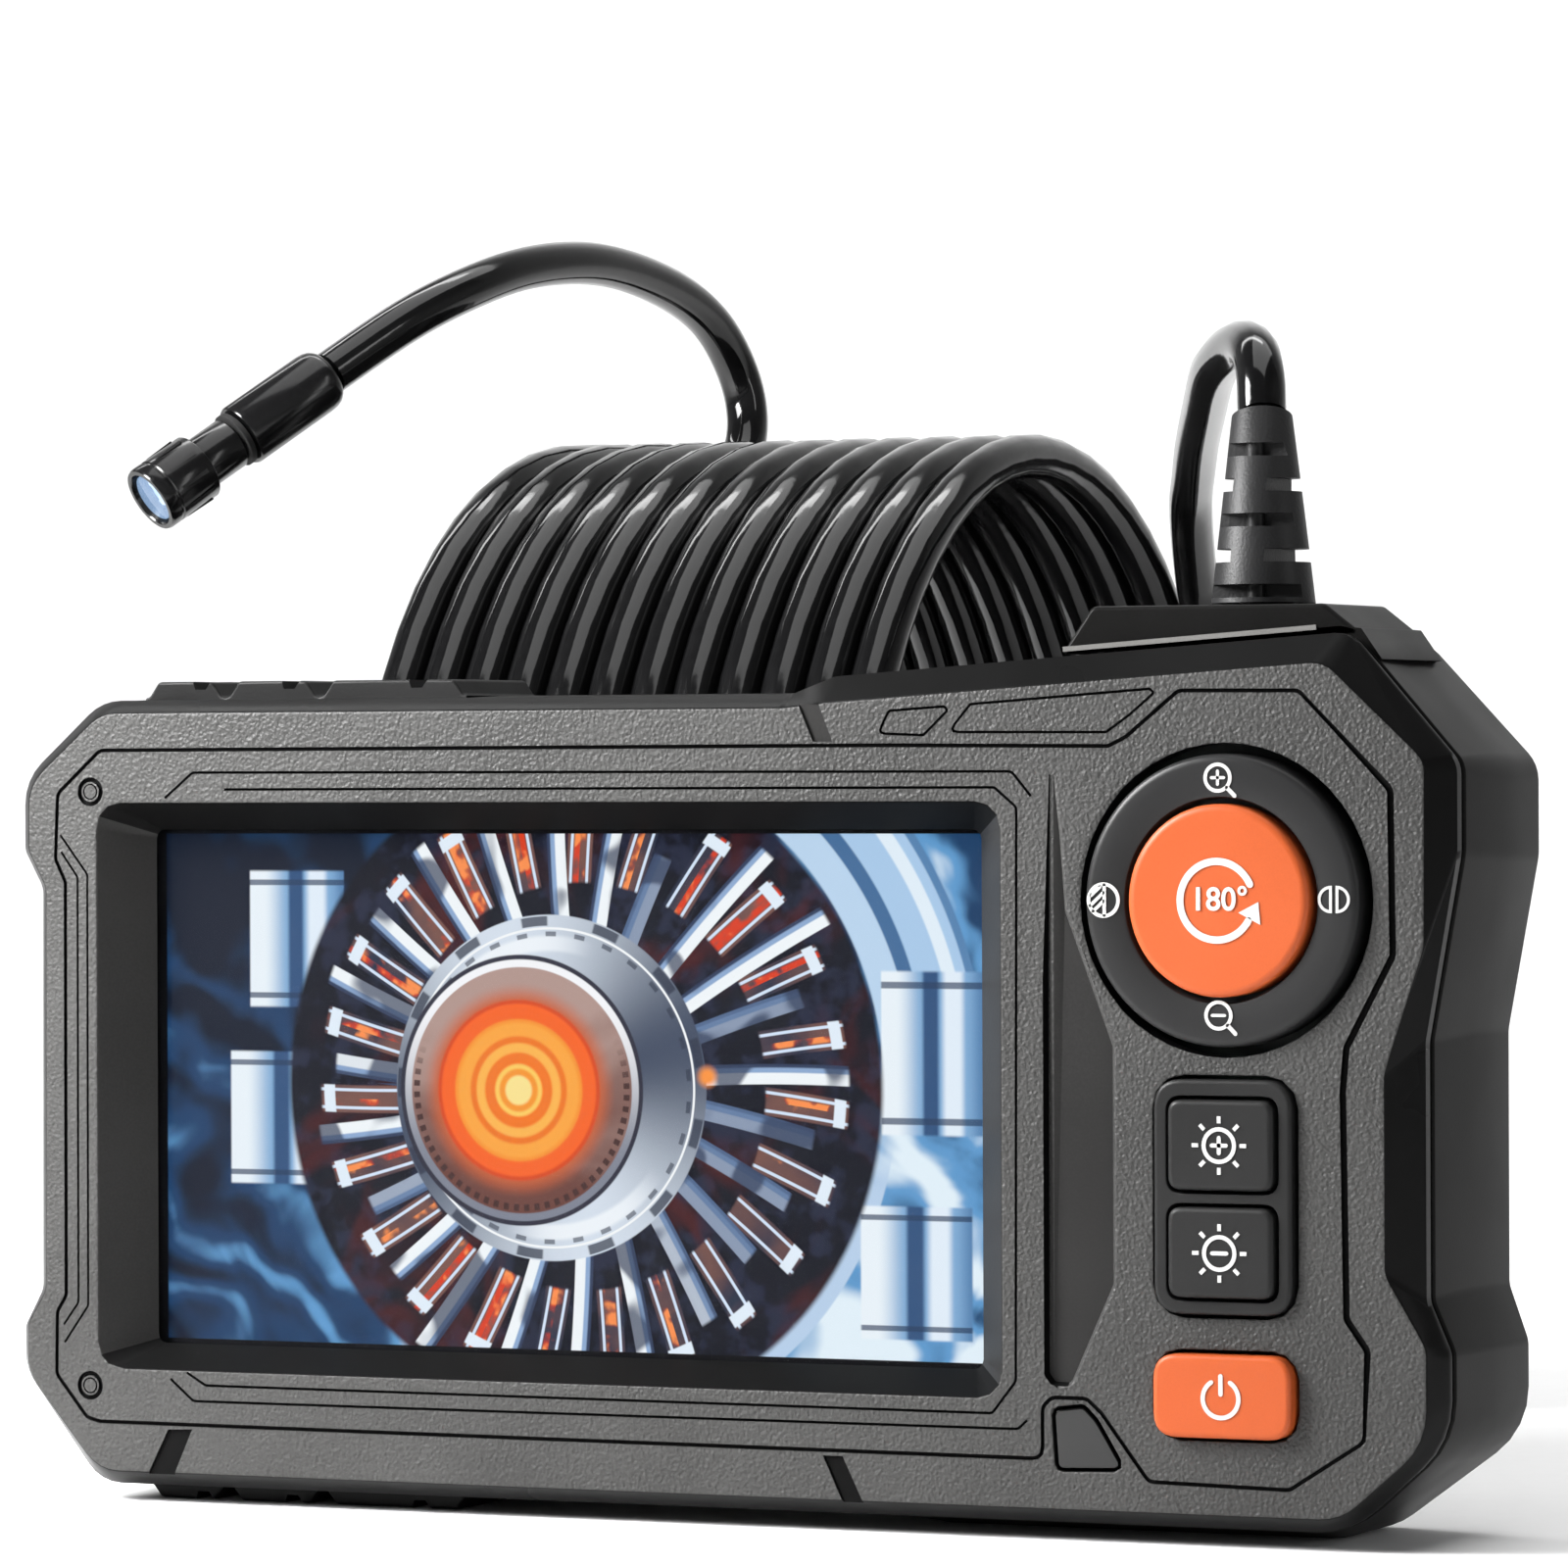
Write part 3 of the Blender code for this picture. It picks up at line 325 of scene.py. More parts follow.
def roundedEnds(line, width):
    # the line with a point more beyond each end, and each point's share of the width
    shares = [1.0] * len(line)
    for end, inner in ((0, 1), (-1, -2)):
        away = (line[inner] - line[end]).normalized() * width / 2
        tip = line[end] - away
        extra = [(tip, 0.25), (tip + away * 0.35, 0.76), (line[end], 1.0)]
        if end == 0:
            line, shares = [p for p, _ in extra] + line[1:], [s for _, s in extra] + shares[1:]
        else:
            extra.reverse()
            line, shares = line[:-1] + [p for p, _ in extra], shares[:-1] + [s for _, s in extra]
    return line, shares


def ribbon(bm, line, width, front, back, closed=False, taper=1.0, fade=0.0, roundEnds=False):
    # a flat bar along a line on the face, from depth front to depth back
    line = [Vector(p) for p in line]
    shares = [1.0] * len(line)
    if roundEnds:
        line, shares = roundedEnds(line, width)
    if fade:
        shares[0] = shares[-1] = 1 - fade
    rails = []
    for side, share, d in ((1, 1.0, front), (-1, 1.0, front), (-1, taper, back), (1, taper, back)):
        rail = sideways(line, [side * share * width / 2 * s for s in shares], closed)
        rails.append([place(p.x, p.y, d) for p in rail])
    skin(bm, rails if closed else list(zip(*rails)), closed)


def skin(bm, rows, loop=False):
    # a closed solid over rows of equally many points: in a loop, or with its first and last row filled
    made = [[bm.verts.new(point) for point in row] for row in rows]
    count = len(made[0])
    for lower, upper in zip(made, made[1:] + (made[:1] if loop else [])):
        for k in range(count):
            n = (k + 1) % count
            bm.faces.new((lower[k], lower[n], upper[n], upper[k]))
    if not loop:
        bm.faces.new(made[0])
        bm.faces.new(made[-1])


def plate(bm, outlines, depths):
    # a solid through outlines of equally many points, one at each depth
    skin(bm, [[place(p[0], p[1], d) for p in outline] for outline, d in zip(outlines, depths)])


def scaled(outline, amount):
    # the outline moved in by amount, all round
    area = sum(a[0] * b[1] - b[0] * a[1] for a, b in zip(outline, outline[1:] + outline[:1]))
    side = 1 if area > 0 else -1
    return sideways(outline, [side * amount] * len(outline), True)


def circleOf(spot, turn, radius, sides, along=0.0):
    # points round the axis that turn makes of +Z, in mm; along is the way along that axis
    angles = [math.tau * k / sides for k in range(sides)]
    return [spot + turn @ Vector((mm(radius * math.cos(a)), mm(radius * math.sin(a)), mm(along)))
            for a in angles]


def lathe(bm, profile, spot, axis, sides=96, loop=False):
    # a turned form round the axis; profile is (radius, distance along the axis) in mm
    turn = Vector((0, 0, 1)).rotation_difference(axis).to_matrix()
    skin(bm, [circleOf(spot, turn, radius, sides, along) for radius, along in profile], loop)


def cap(bm, corners, rise, sink, edge=0.6):
    # a key's cap with a rounded front edge; corners as roundCorners takes them
    outline = roundCorners(corners, 6)
    rounds = [(math.sin(t), math.cos(t)) for t in [math.radians(90 * k / 4) for k in range(5)]]
    outlines = [scaled(outline, edge * (1 - s)) for s, _ in rounds] + [outline]
    plate(bm, outlines, [-rise + edge * 0.8 * (1 - c) for _, c in rounds] + [sink])


def textMesh(words, high, u, v, d, thick):
    curve = bpy.data.curves.new("figures", "FONT")
    curve.body, curve.size, curve.extrude = words, mm(high) * 1.38, mm(thick) / 2
    curve.align_x, curve.align_y, curve.resolution_u = "CENTER", "CENTER", 6
    curve.offset = mm(0.05)
    holder = bpy.data.objects.new("figures", curve)
    scene.collection.objects.link(holder)
    graph = bpy.context.evaluated_depsgraph_get()
    mesh = bpy.data.meshes.new_from_object(holder.evaluated_get(graph))
    bpy.data.objects.remove(holder)
    mesh.transform(Matrix.Translation(place(u, v, d)) @ Matrix.Rotation(math.radians(90), 4, "X"))
    return mesh


# ---- Geometry Nodes trees for what repeats
def newTree(name, inputs):
    tree = bpy.data.node_groups.new(name, "GeometryNodeTree")
    for title, kind in inputs:
        tree.interface.new_socket(title, in_out="INPUT", socket_type="NodeSocket" + kind)
    tree.interface.new_socket("Geometry", in_out="OUTPUT", socket_type="NodeSocketGeometry")
    return tree, add(tree, "NodeGroupInput").outputs


def endTree(tree, points, given, rotation=None):
    shape = add(tree, "GeometryNodeObjectInfo", {"Object": given["Shape"]}, transform_space="ORIGINAL")
    spread = add(tree, "GeometryNodeInstanceOnPoints",
                 {"Points": points, "Instance": shape.outputs["Geometry"]})
    if rotation:
        tree.links.new(rotation, spread.inputs["Rotation"])
    moved = add(tree, "GeometryNodeTransform", {"Geometry": spread.outputs[0], "Translation": given["Place"],
                                                "Rotation": given["Turn"]})
    real = add(tree, "GeometryNodeRealizeInstances", {"Geometry": moved.outputs[0]})
    painted = add(tree, "GeometryNodeSetMaterial", {"Geometry": real.outputs[0], "Material": given["Finish"]})
    add(tree, "NodeGroupOutput", {0: painted.outputs[0]})
    return tree


def ringTree():
    tree, given = newTree("ringOfCopies", [("Shape", "Object"), ("Count", "Int"), ("Radius", "Float"),
                                           ("Place", "Vector"), ("Turn", "Vector"), ("Finish", "Material")])
    circle = add(tree, "GeometryNodeMeshCircle", {"Vertices": given["Count"], "Radius": given["Radius"]})
    outward = add(tree, "GeometryNodeInputPosition")
    facing = add(tree, "FunctionNodeAlignRotationToVector", {"Vector": outward.outputs[0]}, axis="X",
                 pivot_axis="Z")
    return endTree(tree, circle.outputs[0], given, facing.outputs[0])


def rowTree():
    tree, given = newTree("rowOfCopies", [("Shape", "Object"), ("Count", "Int"), ("Pitch", "Vector"),
                                          ("Place", "Vector"), ("Turn", "Vector"), ("Finish", "Material")])
    line = add(tree, "GeometryNodeMeshLine", {"Count": given["Count"], "Offset": given["Pitch"]})
    return endTree(tree, line.outputs[0], given)


def repeat(tree, name, shape, finish, **sizes):
    # sizes by the tree's input names; the shape is used up
    holder = bpy.data.objects.new(name, bpy.data.meshes.new(name))
    scene.collection.objects.link(holder)
    spread = holder.modifiers.new("spread", "NODES")
    spread.node_group = tree
    named = {item.name: item.identifier for item in tree.interface.items_tree if item.in_out == "INPUT"}
    for title, value in {**sizes, "Shape": shape, "Finish": finishes[finish]}.items():
        spread[named[title]] = value
    bake(holder)
    bpy.data.objects.remove(shape)
    soften(holder)
    return holder


ringOfCopies, rowOfCopies = ringTree(), rowTree()


# ---- finishes
finishes = {}
plastics = {
    # colour, roughness, grain size and height in mm, mottling, metal, shine
    "facePlastic": ((0.037, 0.0366, 0.0355), 0.50, 0.44, 0.11, 0.18, 0, 0.25),
    "rimPlastic": ((0.0045, 0.0045, 0.0045), 0.30, 0.20, 0.002, 0.10, 0, 0.08),
    # near-black: the lower stripes' own colour, and painted shade on the walls and floors of grooves, rings,
    # slots and the hood's ledges
    "stripeBlackAndGrooveShade": ((0.002, 0.002, 0.002), 0.60, 0.20, 0.002, 0.10, 0, 0.06),
    "hoodPlastic": ((0.015, 0.0146, 0.0142), 0.45, 0.30, 0.006, 0.15, 0, 0.16),
    "shellPlastic": ((0.006, 0.0059, 0.0057), 0.36, 0.25, 0.003, 0.15, 0, 0.05),
    "gripRubber": ((0.006, 0.006, 0.006), 0.50, 0.35, 0.008, 0.15, 0, 0.12),
    "bootRubber": ((0.011, 0.011, 0.0115), 0.50, 0.32, 0.018, 0.15, 0, 0.26),
    "sealRubber": ((0.008, 0.008, 0.008), 0.75, 0.30, 0.005, 0.15, 0, 0.2),
    "keyRubber": ((0.010, 0.010, 0.010), 0.45, 0.18, 0.003, 0.12, 0, 0.22),
    "padPlastic": ((0.013, 0.013, 0.0133), 0.38, 0.15, 0.002, 0.10, 0, 0.22),
    "keyOrange": ((0.40, 0.072, 0.016), 0.42, 0.20, 0.002, 0.04, 0, 0.25),
    "iconWhite": ((0.50, 0.50, 0.49), 0.45, 0.20, 0.001, 0.03, 0, 0.3),
    "cableJacket": ((0.003, 0.003, 0.0032), 0.10, 1.50, 0.006, 0.20, 0, 0.38),
    "probeBlack": ((0.004, 0.004, 0.0042), 0.17, 0.60, 0.002, 0.20, 0, 0.34),
    "smokedPlastic": ((0.003, 0.003, 0.003), 0.06, 0.50, 0.0005, 0.10, 0, 0.4),
    "trayPlastic": ((0.12, 0.12, 0.125), 0.60, 0.30, 0.006, 0.15, 0, 0.5),
    "chipBlack": ((0.02, 0.02, 0.021), 0.50, 0.15, 0.003, 0.15, 0, 0.5),
    # near-black board mask, dark also to stand for the shade seen through the gap round the ring pad
    "boardMaskAndGapShade": ((0.004, 0.009, 0.006), 0.40, 0.80, 0.006, 0.25, 0, 0.3),
    "batteryWrap": ((0.04, 0.10, 0.28), 0.30, 2.00, 0.010, 0.15, 0, 0.5),
    "platedSteel": ((0.62, 0.62, 0.64), 0.28, 0.40, 0.002, 0.08, 1, 0.5),
    "screwSteel": ((0.36, 0.36, 0.37), 0.32, 0.25, 0.003, 0.12, 1, 0.5),
    "turnedBrass": ((0.70, 0.52, 0.22), 0.28, 0.30, 0.003, 0.10, 1, 0.5),
    "lensBlack": ((0.01, 0.01, 0.014), 0.10, 0.50, 0.0005, 0.10, 0, 0.6),
    "trimGrey": ((0.16, 0.157, 0.15), 0.40, 0.20, 0.002, 0.10, 0, 0.4),
    "floorPaper": ((0.92, 0.92, 0.92), 0.80, 3.00, 0.010, 0.01, 0, 0.2),
}


def newFinish(name):
    # a new material: its tree, its shader and the object coordinates
    finishes[name] = bpy.data.materials.new(name)
    finishes[name].use_nodes = True
    tree = finishes[name].node_tree
    return tree, tree.nodes["Principled BSDF"], add(tree, "ShaderNodeTexCoord").outputs["Object"]


def makePlastics():
    for name, (colour, roughness, grain, height, mottle, metal, shine) in plastics.items():
        tree, shader, where = newFinish(name)
        broad = add(tree, "ShaderNodeTexNoise", {"Vector": where, "Scale": 60.0, "Detail": 3.0})
        fine = add(tree, "ShaderNodeTexNoise", {"Vector": where, "Scale": 1200.0 / grain, "Detail": 2.0})
        pebble = add(tree, "ShaderNodeTexVoronoi", {"Vector": where, "Scale": 1000.0 / grain,
                                                   "Smoothness": 0.6}, feature="SMOOTH_F1")
        dark = [c * (1 - mottle) for c in colour] + [1]
        light = [min(1, c * (1 + mottle)) for c in colour] + [1]
        mixed = add(tree, "ShaderNodeMath", {0: broad.outputs[0], 1: fine.outputs[0]}, operation="ADD")
        share = add(tree, "ShaderNodeMapRange", {0: mixed.outputs[0], 1: 0.75, 2: 1.25})
        tint = add(tree, "ShaderNodeMix", {0: share.outputs[0], 6: dark, 7: light}, data_type="RGBA")
        gloss = add(tree, "ShaderNodeMapRange", {0: broad.outputs[0], 1: 0.3, 2: 0.7,
                                                3: roughness * 0.88, 4: min(1, roughness * 1.12)})
        lumps = add(tree, "ShaderNodeMath", {0: pebble.outputs["Distance"], 1: fine.outputs[0]},
                    operation="ADD")
        bump = add(tree, "ShaderNodeBump", {"Height": lumps.outputs[0], "Distance": mm(height),
                                            "Strength": 1.0})
        feed(tree, shader, {"Base Color": tint.outputs[2], "Roughness": gloss.outputs[0],
                            "Normal": bump.outputs[0], "Metallic": metal, "Specular IOR Level": shine})


def makeGlass():
    tree, shader, where = newFinish("windowGlass")
    smear = add(tree, "ShaderNodeTexNoise", {"Vector": where, "Scale": 45.0, "Detail": 4.0})
    gloss = add(tree, "ShaderNodeMapRange", {0: smear.outputs[0], 3: 0.02, 4: 0.07})
    feed(tree, shader, {"Roughness": gloss.outputs[0], "Base Color": (0.02, 0.022, 0.025, 1), "Alpha": 0.04,
                        "Specular IOR Level": 0.10})


glows = {
    # grain's scale, the two colours it mixes, strength, body colour, roughness, alpha
    "boardPaintedGlow": (2500.0, (0.45, 0.68, 1.0), (0.90, 0.97, 1.0), 1.3, (0.60, 0.70, 0.80), 0.50, 1.0),
    "ledBright": (500.0, (0.85, 0.94, 1.0), (0.68, 0.752, 0.80), 2.2, (0.10, 0.13, 0.18), 0.08, 1.0),
    "probeGlassPaintedGlow": (500.0, (0.30, 0.52, 0.85), (0.24, 0.416, 0.68), 0.55, (0.10, 0.13, 0.18), 0.08, 0.45),
}


def makeGlows():
    # the diodes glow as lamps; the glow on their board and on the probe's window is painted light from them
    for name, (scale, one, other, strength, body, roughness, alpha) in glows.items():
        tree, shader, where = newFinish(name)
        grain = add(tree, "ShaderNodeTexNoise", {"Vector": where, "Scale": scale})
        tint = add(tree, "ShaderNodeMix", {0: grain.outputs[0], 6: (*one, 1), 7: (*other, 1)},
                   data_type="RGBA")
        feed(tree, shader, {"Emission Color": tint.outputs[2], "Emission Strength": strength,
                            "Base Color": (*body, 1), "Roughness": roughness, "Alpha": alpha})


picture = {
    # a lit engine: radii and places in mm from the display's centre
    "hub": (-5.5, 0.1), "plate": (-5.2, 0.1, 13.0), "ring": (-1.8, 0.4, 18.0),
    "fan": (1.8, 0.6, 34.5), "blades": 23,
    "cylinders": [(-31.8, 15.8, 5.8, 7.4), (-33.6, -3.2, 6.4, 7.2), (41.8, 4.5, 5.8, 8.6),
                  (40.0, -18.0, 6.4, 7.0)],
    "glow": 1.0,
    "rings": [    # outer radius and colour, from the glow's rim inwards
        (9.4, (0.75, 0.07, 0.008)), (9.0, (0.98, 0.14, 0.012)), (7.4, (0.98, 0.33, 0.03)),
        (7.0, (1.0, 0.40, 0.05)), (5.6, (0.93, 0.20, 0.012)), (4.9, (1.0, 0.48, 0.08)),
        (3.9, (0.95, 0.20, 0.012)), (2.7, (1.0, 0.62, 0.12)),
        (2.2, (0.98, 0.33, 0.03)), (1.5, (1.0, 0.80, 0.30)),
    ],
}


def makePicture():
    tree, shader, where = newFinish("engineOnDisplay")

    def do(operation, *values):
        return add(tree, "ShaderNodeMath", dict(enumerate(values)), operation=operation).outputs[0]

    def times(one, other):
        return do("MULTIPLY", one, other)

    def plus(one, other):
        return do("ADD", one, other)

    def minus(one, other):
        return do("SUBTRACT", one, other)

    def rise(value, low, high):
        return add(tree, "ShaderNodeMapRange", {0: value, 1: low, 2: high},
                   interpolation_type="SMOOTHSTEP").outputs[0]

    def within(value, low, high, soft=0.3):
        return times(rise(value, low - soft, low), rise(value, high + soft, high))

    def over(base, colour, share):
        if not isinstance(colour, bpy.types.NodeSocket):
            colour = (*colour, 1)
        return add(tree, "ShaderNodeMix", {0: share, 6: base, 7: colour}, data_type="RGBA").outputs[2]

    def reach(u0, v0):
        across, up = minus(u, u0), minus(v, v0)
        return do("SQRT", plus(times(across, across), times(up, up)))

    def turnOf(u0, v0):
        return do("DIVIDE", do("ARCTAN2", minus(v, v0), minus(u, u0)), math.tau)

    def noise(scale, detail, distortion=0.0):
        return add(tree, "ShaderNodeTexNoise", {"Vector": where, "Scale": scale, "Detail": detail,
                                               "Distortion": distortion}).outputs[0]

    split = add(tree, "ShaderNodeSeparateXYZ", {0: where})
    u = times(minus(split.outputs["X"], screenMiddle.x), 1000.0)
    v = times(minus(split.outputs["Z"], screenMiddle.z), 1000.0)
    fromHub = reach(*picture["hub"])
    plateU, plateV, plateR = picture["plate"]
    ringU, ringV, ringR = picture["ring"]
    fanU, fanV, fanR = picture["fan"]
    fromPlate, fromRing, fromFan = reach(plateU, plateV), reach(ringU, ringV), reach(fanU, fanV)
    ringAngle, fanAngle = turnOf(ringU, ringV), turnOf(fanU, fanV)
    broad, fine = noise(55.0, 3.0, 1.4), noise(380.0, 2.0)

    # soft machinery behind: pipes as bent bands, dark at the upper left
    pipes = add(tree, "ShaderNodeTexWave", {"Vector": where, "Scale": 42.0, "Distortion": 9.0, "Detail": 2.0,
                                           "Detail Scale": 1.6}, bands_direction="DIAGONAL").outputs["Fac"]
    lit = plus(times(rise(u, -46.0, 20.0), 0.30), times(rise(v, 26.0, -20.0), 0.16))
    level = plus(times(plus(times(pipes, 0.30), times(broad, 0.75)), 0.85), lit)
    colour = over((0.001, 0.006, 0.020, 1), (0.008, 0.050, 0.14), rise(level, 0.42, 0.66))
    colour = over(colour, (0.12, 0.34, 0.64), rise(level, 0.66, 0.84))
    colour = over(colour, (0.80, 0.92, 1.0), rise(level, 0.84, 1.00))

    # the housing's pale arcs at the upper right and lower right
    side = times(rise(u, 2.0, 14.0), rise(v, -2.0, 4.0))
    for low, high, tone in ((0.3, 3.8, (0.52, 0.70, 0.90)), (3.8, 5.1, (0.06, 0.16, 0.34)),
                            (5.4, 11.0, (0.42, 0.62, 0.86)), (8.5, 9.7, (0.80, 0.91, 1.0)),
                            (11.1, 11.7, (0.10, 0.24, 0.46))):
        colour = over(colour, tone, times(within(fromFan, fanR + low, fanR + high), side))
    lower = times(rise(u, 16.0, 24.0), rise(v, -4.0, -10.0))
    colour = over(colour, (0.50, 0.66, 0.86), times(within(fromFan, fanR - 1.0, fanR + 1.5), lower))

    # upright cylinders at both sides: bright on the left, with a dark band and collars
    for u0, v0, halfWide, halfHigh in picture["cylinders"]:
        across = do("DIVIDE", minus(u, u0), halfWide)
        up = do("ABSOLUTE", do("DIVIDE", minus(v, v0), halfHigh))
        inside = times(rise(do("ABSOLUTE", across), 1.0, 0.95), rise(up, 1.0, 0.95))
        tone = over((0.86, 0.94, 1.0, 1), (0.22, 0.42, 0.68), rise(across, -0.7, -0.15))
        tone = over(tone, (0.03, 0.09, 0.22), within(across, -0.12, 0.08, 0.10))
        tone = over(tone, (0.80, 0.90, 1.0), within(across, 0.30, 0.52, 0.16))
        tone = over(tone, (0.10, 0.24, 0.46), rise(across, 0.66, 0.98))
        tone = over(tone, (0.02, 0.05, 0.12), times(within(up, 0.78, 0.84, 0.02), 0.8))
        colour = over(colour, tone, inside)

    # the fan: dark bays, silver blades of one width, and glass pins with red hot glints between them
    bay = over((0.001, 0.002, 0.008, 1), (0.014, 0.018, 0.045), rise(fine, 0.45, 0.65))
    bay = over(bay, (0.08, 0.008, 0.006), times(rise(broad, 0.50, 0.66), 0.8))
    colour = over(colour, bay, rise(fromFan, fanR + 0.4, fanR - 0.4))
    blades = float(picture["blades"])
    sweep = plus(times(fanAngle, blades), times(fromFan, 0.010))
    cell = add(tree, "ShaderNodeTexWhiteNoise", {"W": do("FLOOR", sweep)}, noise_dimensions="1D").outputs[0]
    lean = times(minus(cell, 0.5), 0.22)
    offset = plus(minus(do("FRACT", sweep), 0.5), lean)
    mmEach = times(fromFan, math.tau / blades)
    lateral = times(offset, mmEach)
    edgeWay = times(minus(0.5, do("ABSOLUTE", minus(do("FRACT", sweep), 0.5))), mmEach)
    tip = plus(25.5, times(cell, 8.5))
    shortEnough = rise(minus(fromFan, tip), 0.5, 0.0)
    glass = times(rise(edgeWay, 1.55, 1.35), within(fromFan, 21.5, 30.5, 0.4))
    glassTone = over((0.02, 0.03, 0.06, 1), (0.20, 0.09, 0.07), rise(broad, 0.35, 0.6))
    glassTone = over(glassTone, (0.70, 0.82, 0.98), within(edgeWay, 0.85, 1.05, 0.12))
    hot = times(rise(plus(times(fine, 0.7), times(cell, 0.4)), 0.55, 0.66),
             rise(edgeWay, 0.8, 0.5))
    glassTone = over(glassTone, over((0.75, 0.05, 0.01, 1), (1.0, 0.30, 0.08), rise(fine, 0.50, 0.60)), hot)
    glassTone = over(glassTone, (0.80, 0.90, 1.0), within(fromFan, 29.2, 30.3, 0.2))
    colour = over(colour, glassTone, glass)
    blade = times(times(rise(do("ABSOLUTE", lateral), 1.12, 0.98), shortEnough),
               rise(fromRing, ringR - 1.0, ringR))
    silver = over((0.92, 0.97, 1.0, 1), (0.28, 0.42, 0.66), rise(lateral, 0.05, 0.25))
    silver = over(silver, (0.03, 0.05, 0.11), rise(lateral, 0.55, 0.80))
    silver = over(silver, (0.10, 0.17, 0.32), times(rise(cell, 0.45, 0.2), 0.8))
    silver = over(silver, (0.03, 0.05, 0.11), times(rise(noise(140.0, 1.0), 0.53, 0.60), 0.85))
    colour = over(colour, silver, blade)

    # the notched silver ring, the warm plate in it, and the glowing hub
    shine = plus(0.5, times(do("COSINE", times(minus(ringAngle, 0.30), 2 * math.tau)), 0.5))
    tone = over((0.06, 0.08, 0.13, 1), (0.70, 0.78, 0.88), shine)
    tone = over(tone, (0.90, 0.95, 1.0), times(rise(shine, 0.6, 1.0), within(fromRing, 14.6, 15.6, 0.6)))
    for count, low, high, dark in ((13.0, 17.0, 17.9, 0.85), (30.0, 15.9, 16.3, 0.7)):
        notch = within(do("FRACT", times(ringAngle, count)), 0.30, 0.62, 0.04)
        tone = over(tone, (0.03, 0.04, 0.07), times(times(notch, within(fromRing, low, high, 0.1)), dark))
    tone = over(tone, (0.95, 0.98, 1.0), within(fromRing, 16.6, 16.75, 0.1))
    colour = over(colour, tone, rise(fromRing, ringR + 0.2, ringR))
    colour = over(colour, (0.03, 0.03, 0.05), within(fromPlate, plateR + 0.7, plateR + 1.1, 0.2))
    colour = over(colour, over((0.22, 0.24, 0.30, 1), (0.96, 0.97, 1.0), rise(v, -8.0, 10.0)),
                  rise(fromPlate, plateR + 0.8, plateR + 0.6))
    warm = over((0.16, 0.06, 0.045, 1), (0.47, 0.32, 0.28), rise(plus(times(v, 0.03), broad), 0.2, 0.85))
    warm = over(warm, (0.62, 0.13, 0.04), rise(fromHub, 11.5, 9.0))
    colour = over(colour, warm, rise(fromPlate, plateR, plateR - 0.2))
    plateAngle = turnOf(plateU, plateV)
    studs = within(do("FRACT", times(plateAngle, 64.0)), 0.3, 0.7, 0.1)
    studs = times(studs, within(fromPlate, 12.0, 12.6, 0.1))
    colour = over(colour, (0.07, 0.03, 0.025), times(studs, rise(v, 6.0, 0.0)))
    for radius, tone in picture["rings"]:
        colour = over(colour, tone, rise(fromHub, radius + 0.25, radius - 0.15))
    colour = over(colour, (1.0, 0.32, 0.05), rise(reach(16.4, 1.8), 1.5, 0.4))

    edge = do("MAXIMUM", do("DIVIDE", do("ABSOLUTE", u), 47.52), do("DIVIDE", do("ABSOLUTE", v), 26.93))
    colour = over(colour, (0.0, 0.0, 0.0), rise(edge, 1.0, 1.003))
    feed(tree, shader, {"Emission Color": colour, "Emission Strength": picture["glow"],
                        "Base Color": (0.004, 0.004, 0.005, 1), "Roughness": 0.35,
                        "Specular IOR Level": 0.06})


makePlastics()
makeGlass()
makeGlows()
makePicture()
makeCamera()
makeStudio()
makeFloor()
print("studio ready")

# ---- the cable: riser, coil and lead in one piece
cable = {
    "radius": 2.5, "pitch": 5.2, "turns": 11.875, "firstAngle": 45.0, "firstX": 3.8,
    "perTurn": 56, "sides": 5, "length": 4.5,    # length in m
    "riser": [(0.0547, 0.0054, 0.1137), (0.0545, 0.0058, 0.1147), (0.0542, 0.0065, 0.1168),
              (0.0534, 0.0079, 0.1188), (0.0520, 0.0103, 0.1203), (0.0499, 0.0140, 0.1212),
              (0.0470, 0.0190, 0.1216), (0.0430, 0.0259, 0.1213), (0.0362, 0.0385, 0.1201),
              (0.0280, 0.0571, 0.1176), (0.0190, 0.0771, 0.1144), (0.0128, 0.0915, 0.1110),
              (0.0094, 0.0990, 0.1085), (0.0062, 0.1078, 0.1033)],
    "lead": [(-0.0578, 0.0890, 0.1133), (-0.0573, 0.1001, 0.1136), (-0.0569, 0.1065, 0.1131),
             (-0.0566, 0.1117, 0.1132), (-0.0566, 0.1164, 0.1147), (-0.0568, 0.1197, 0.1182),
             (-0.0575, 0.1208, 0.1229), (-0.0584, 0.1189, 0.1277), (-0.0590, 0.1138, 0.1321),
             (-0.0595, 0.1055, 0.1350), (-0.0602, 0.0941, 0.1369), (-0.0608, 0.0831, 0.1374),
             (-0.0621, 0.0701, 0.1360), (-0.0634, 0.0601, 0.1334), (-0.0659, 0.0521, 0.1302),
             (-0.0690, 0.0461, 0.1264), (-0.0719, 0.0406, 0.1226)],
    "probeAim": (-0.475, -0.690, -0.545),
}
probeAim = Vector(cable["probeAim"]).normalized()


def coilPoints():
    low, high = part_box("cable_coil")
    middleY, middleZ = (low.y + high.y) / 2, (low.z + high.z) / 2
    radius = (high.z - low.z) / 2 - mm(cable["radius"])
    points = []
    count = round(cable["turns"] * cable["perTurn"])
    for k in range(count + 1):
        turns = cable["turns"] * k / count
        angle = math.radians(cable["firstAngle"] - 360 * turns)
        points.append(Vector((mm(cable["firstX"] - cable["pitch"] * turns),
                              middleY + radius * math.cos(angle), middleZ + radius * math.sin(angle))))
    return points


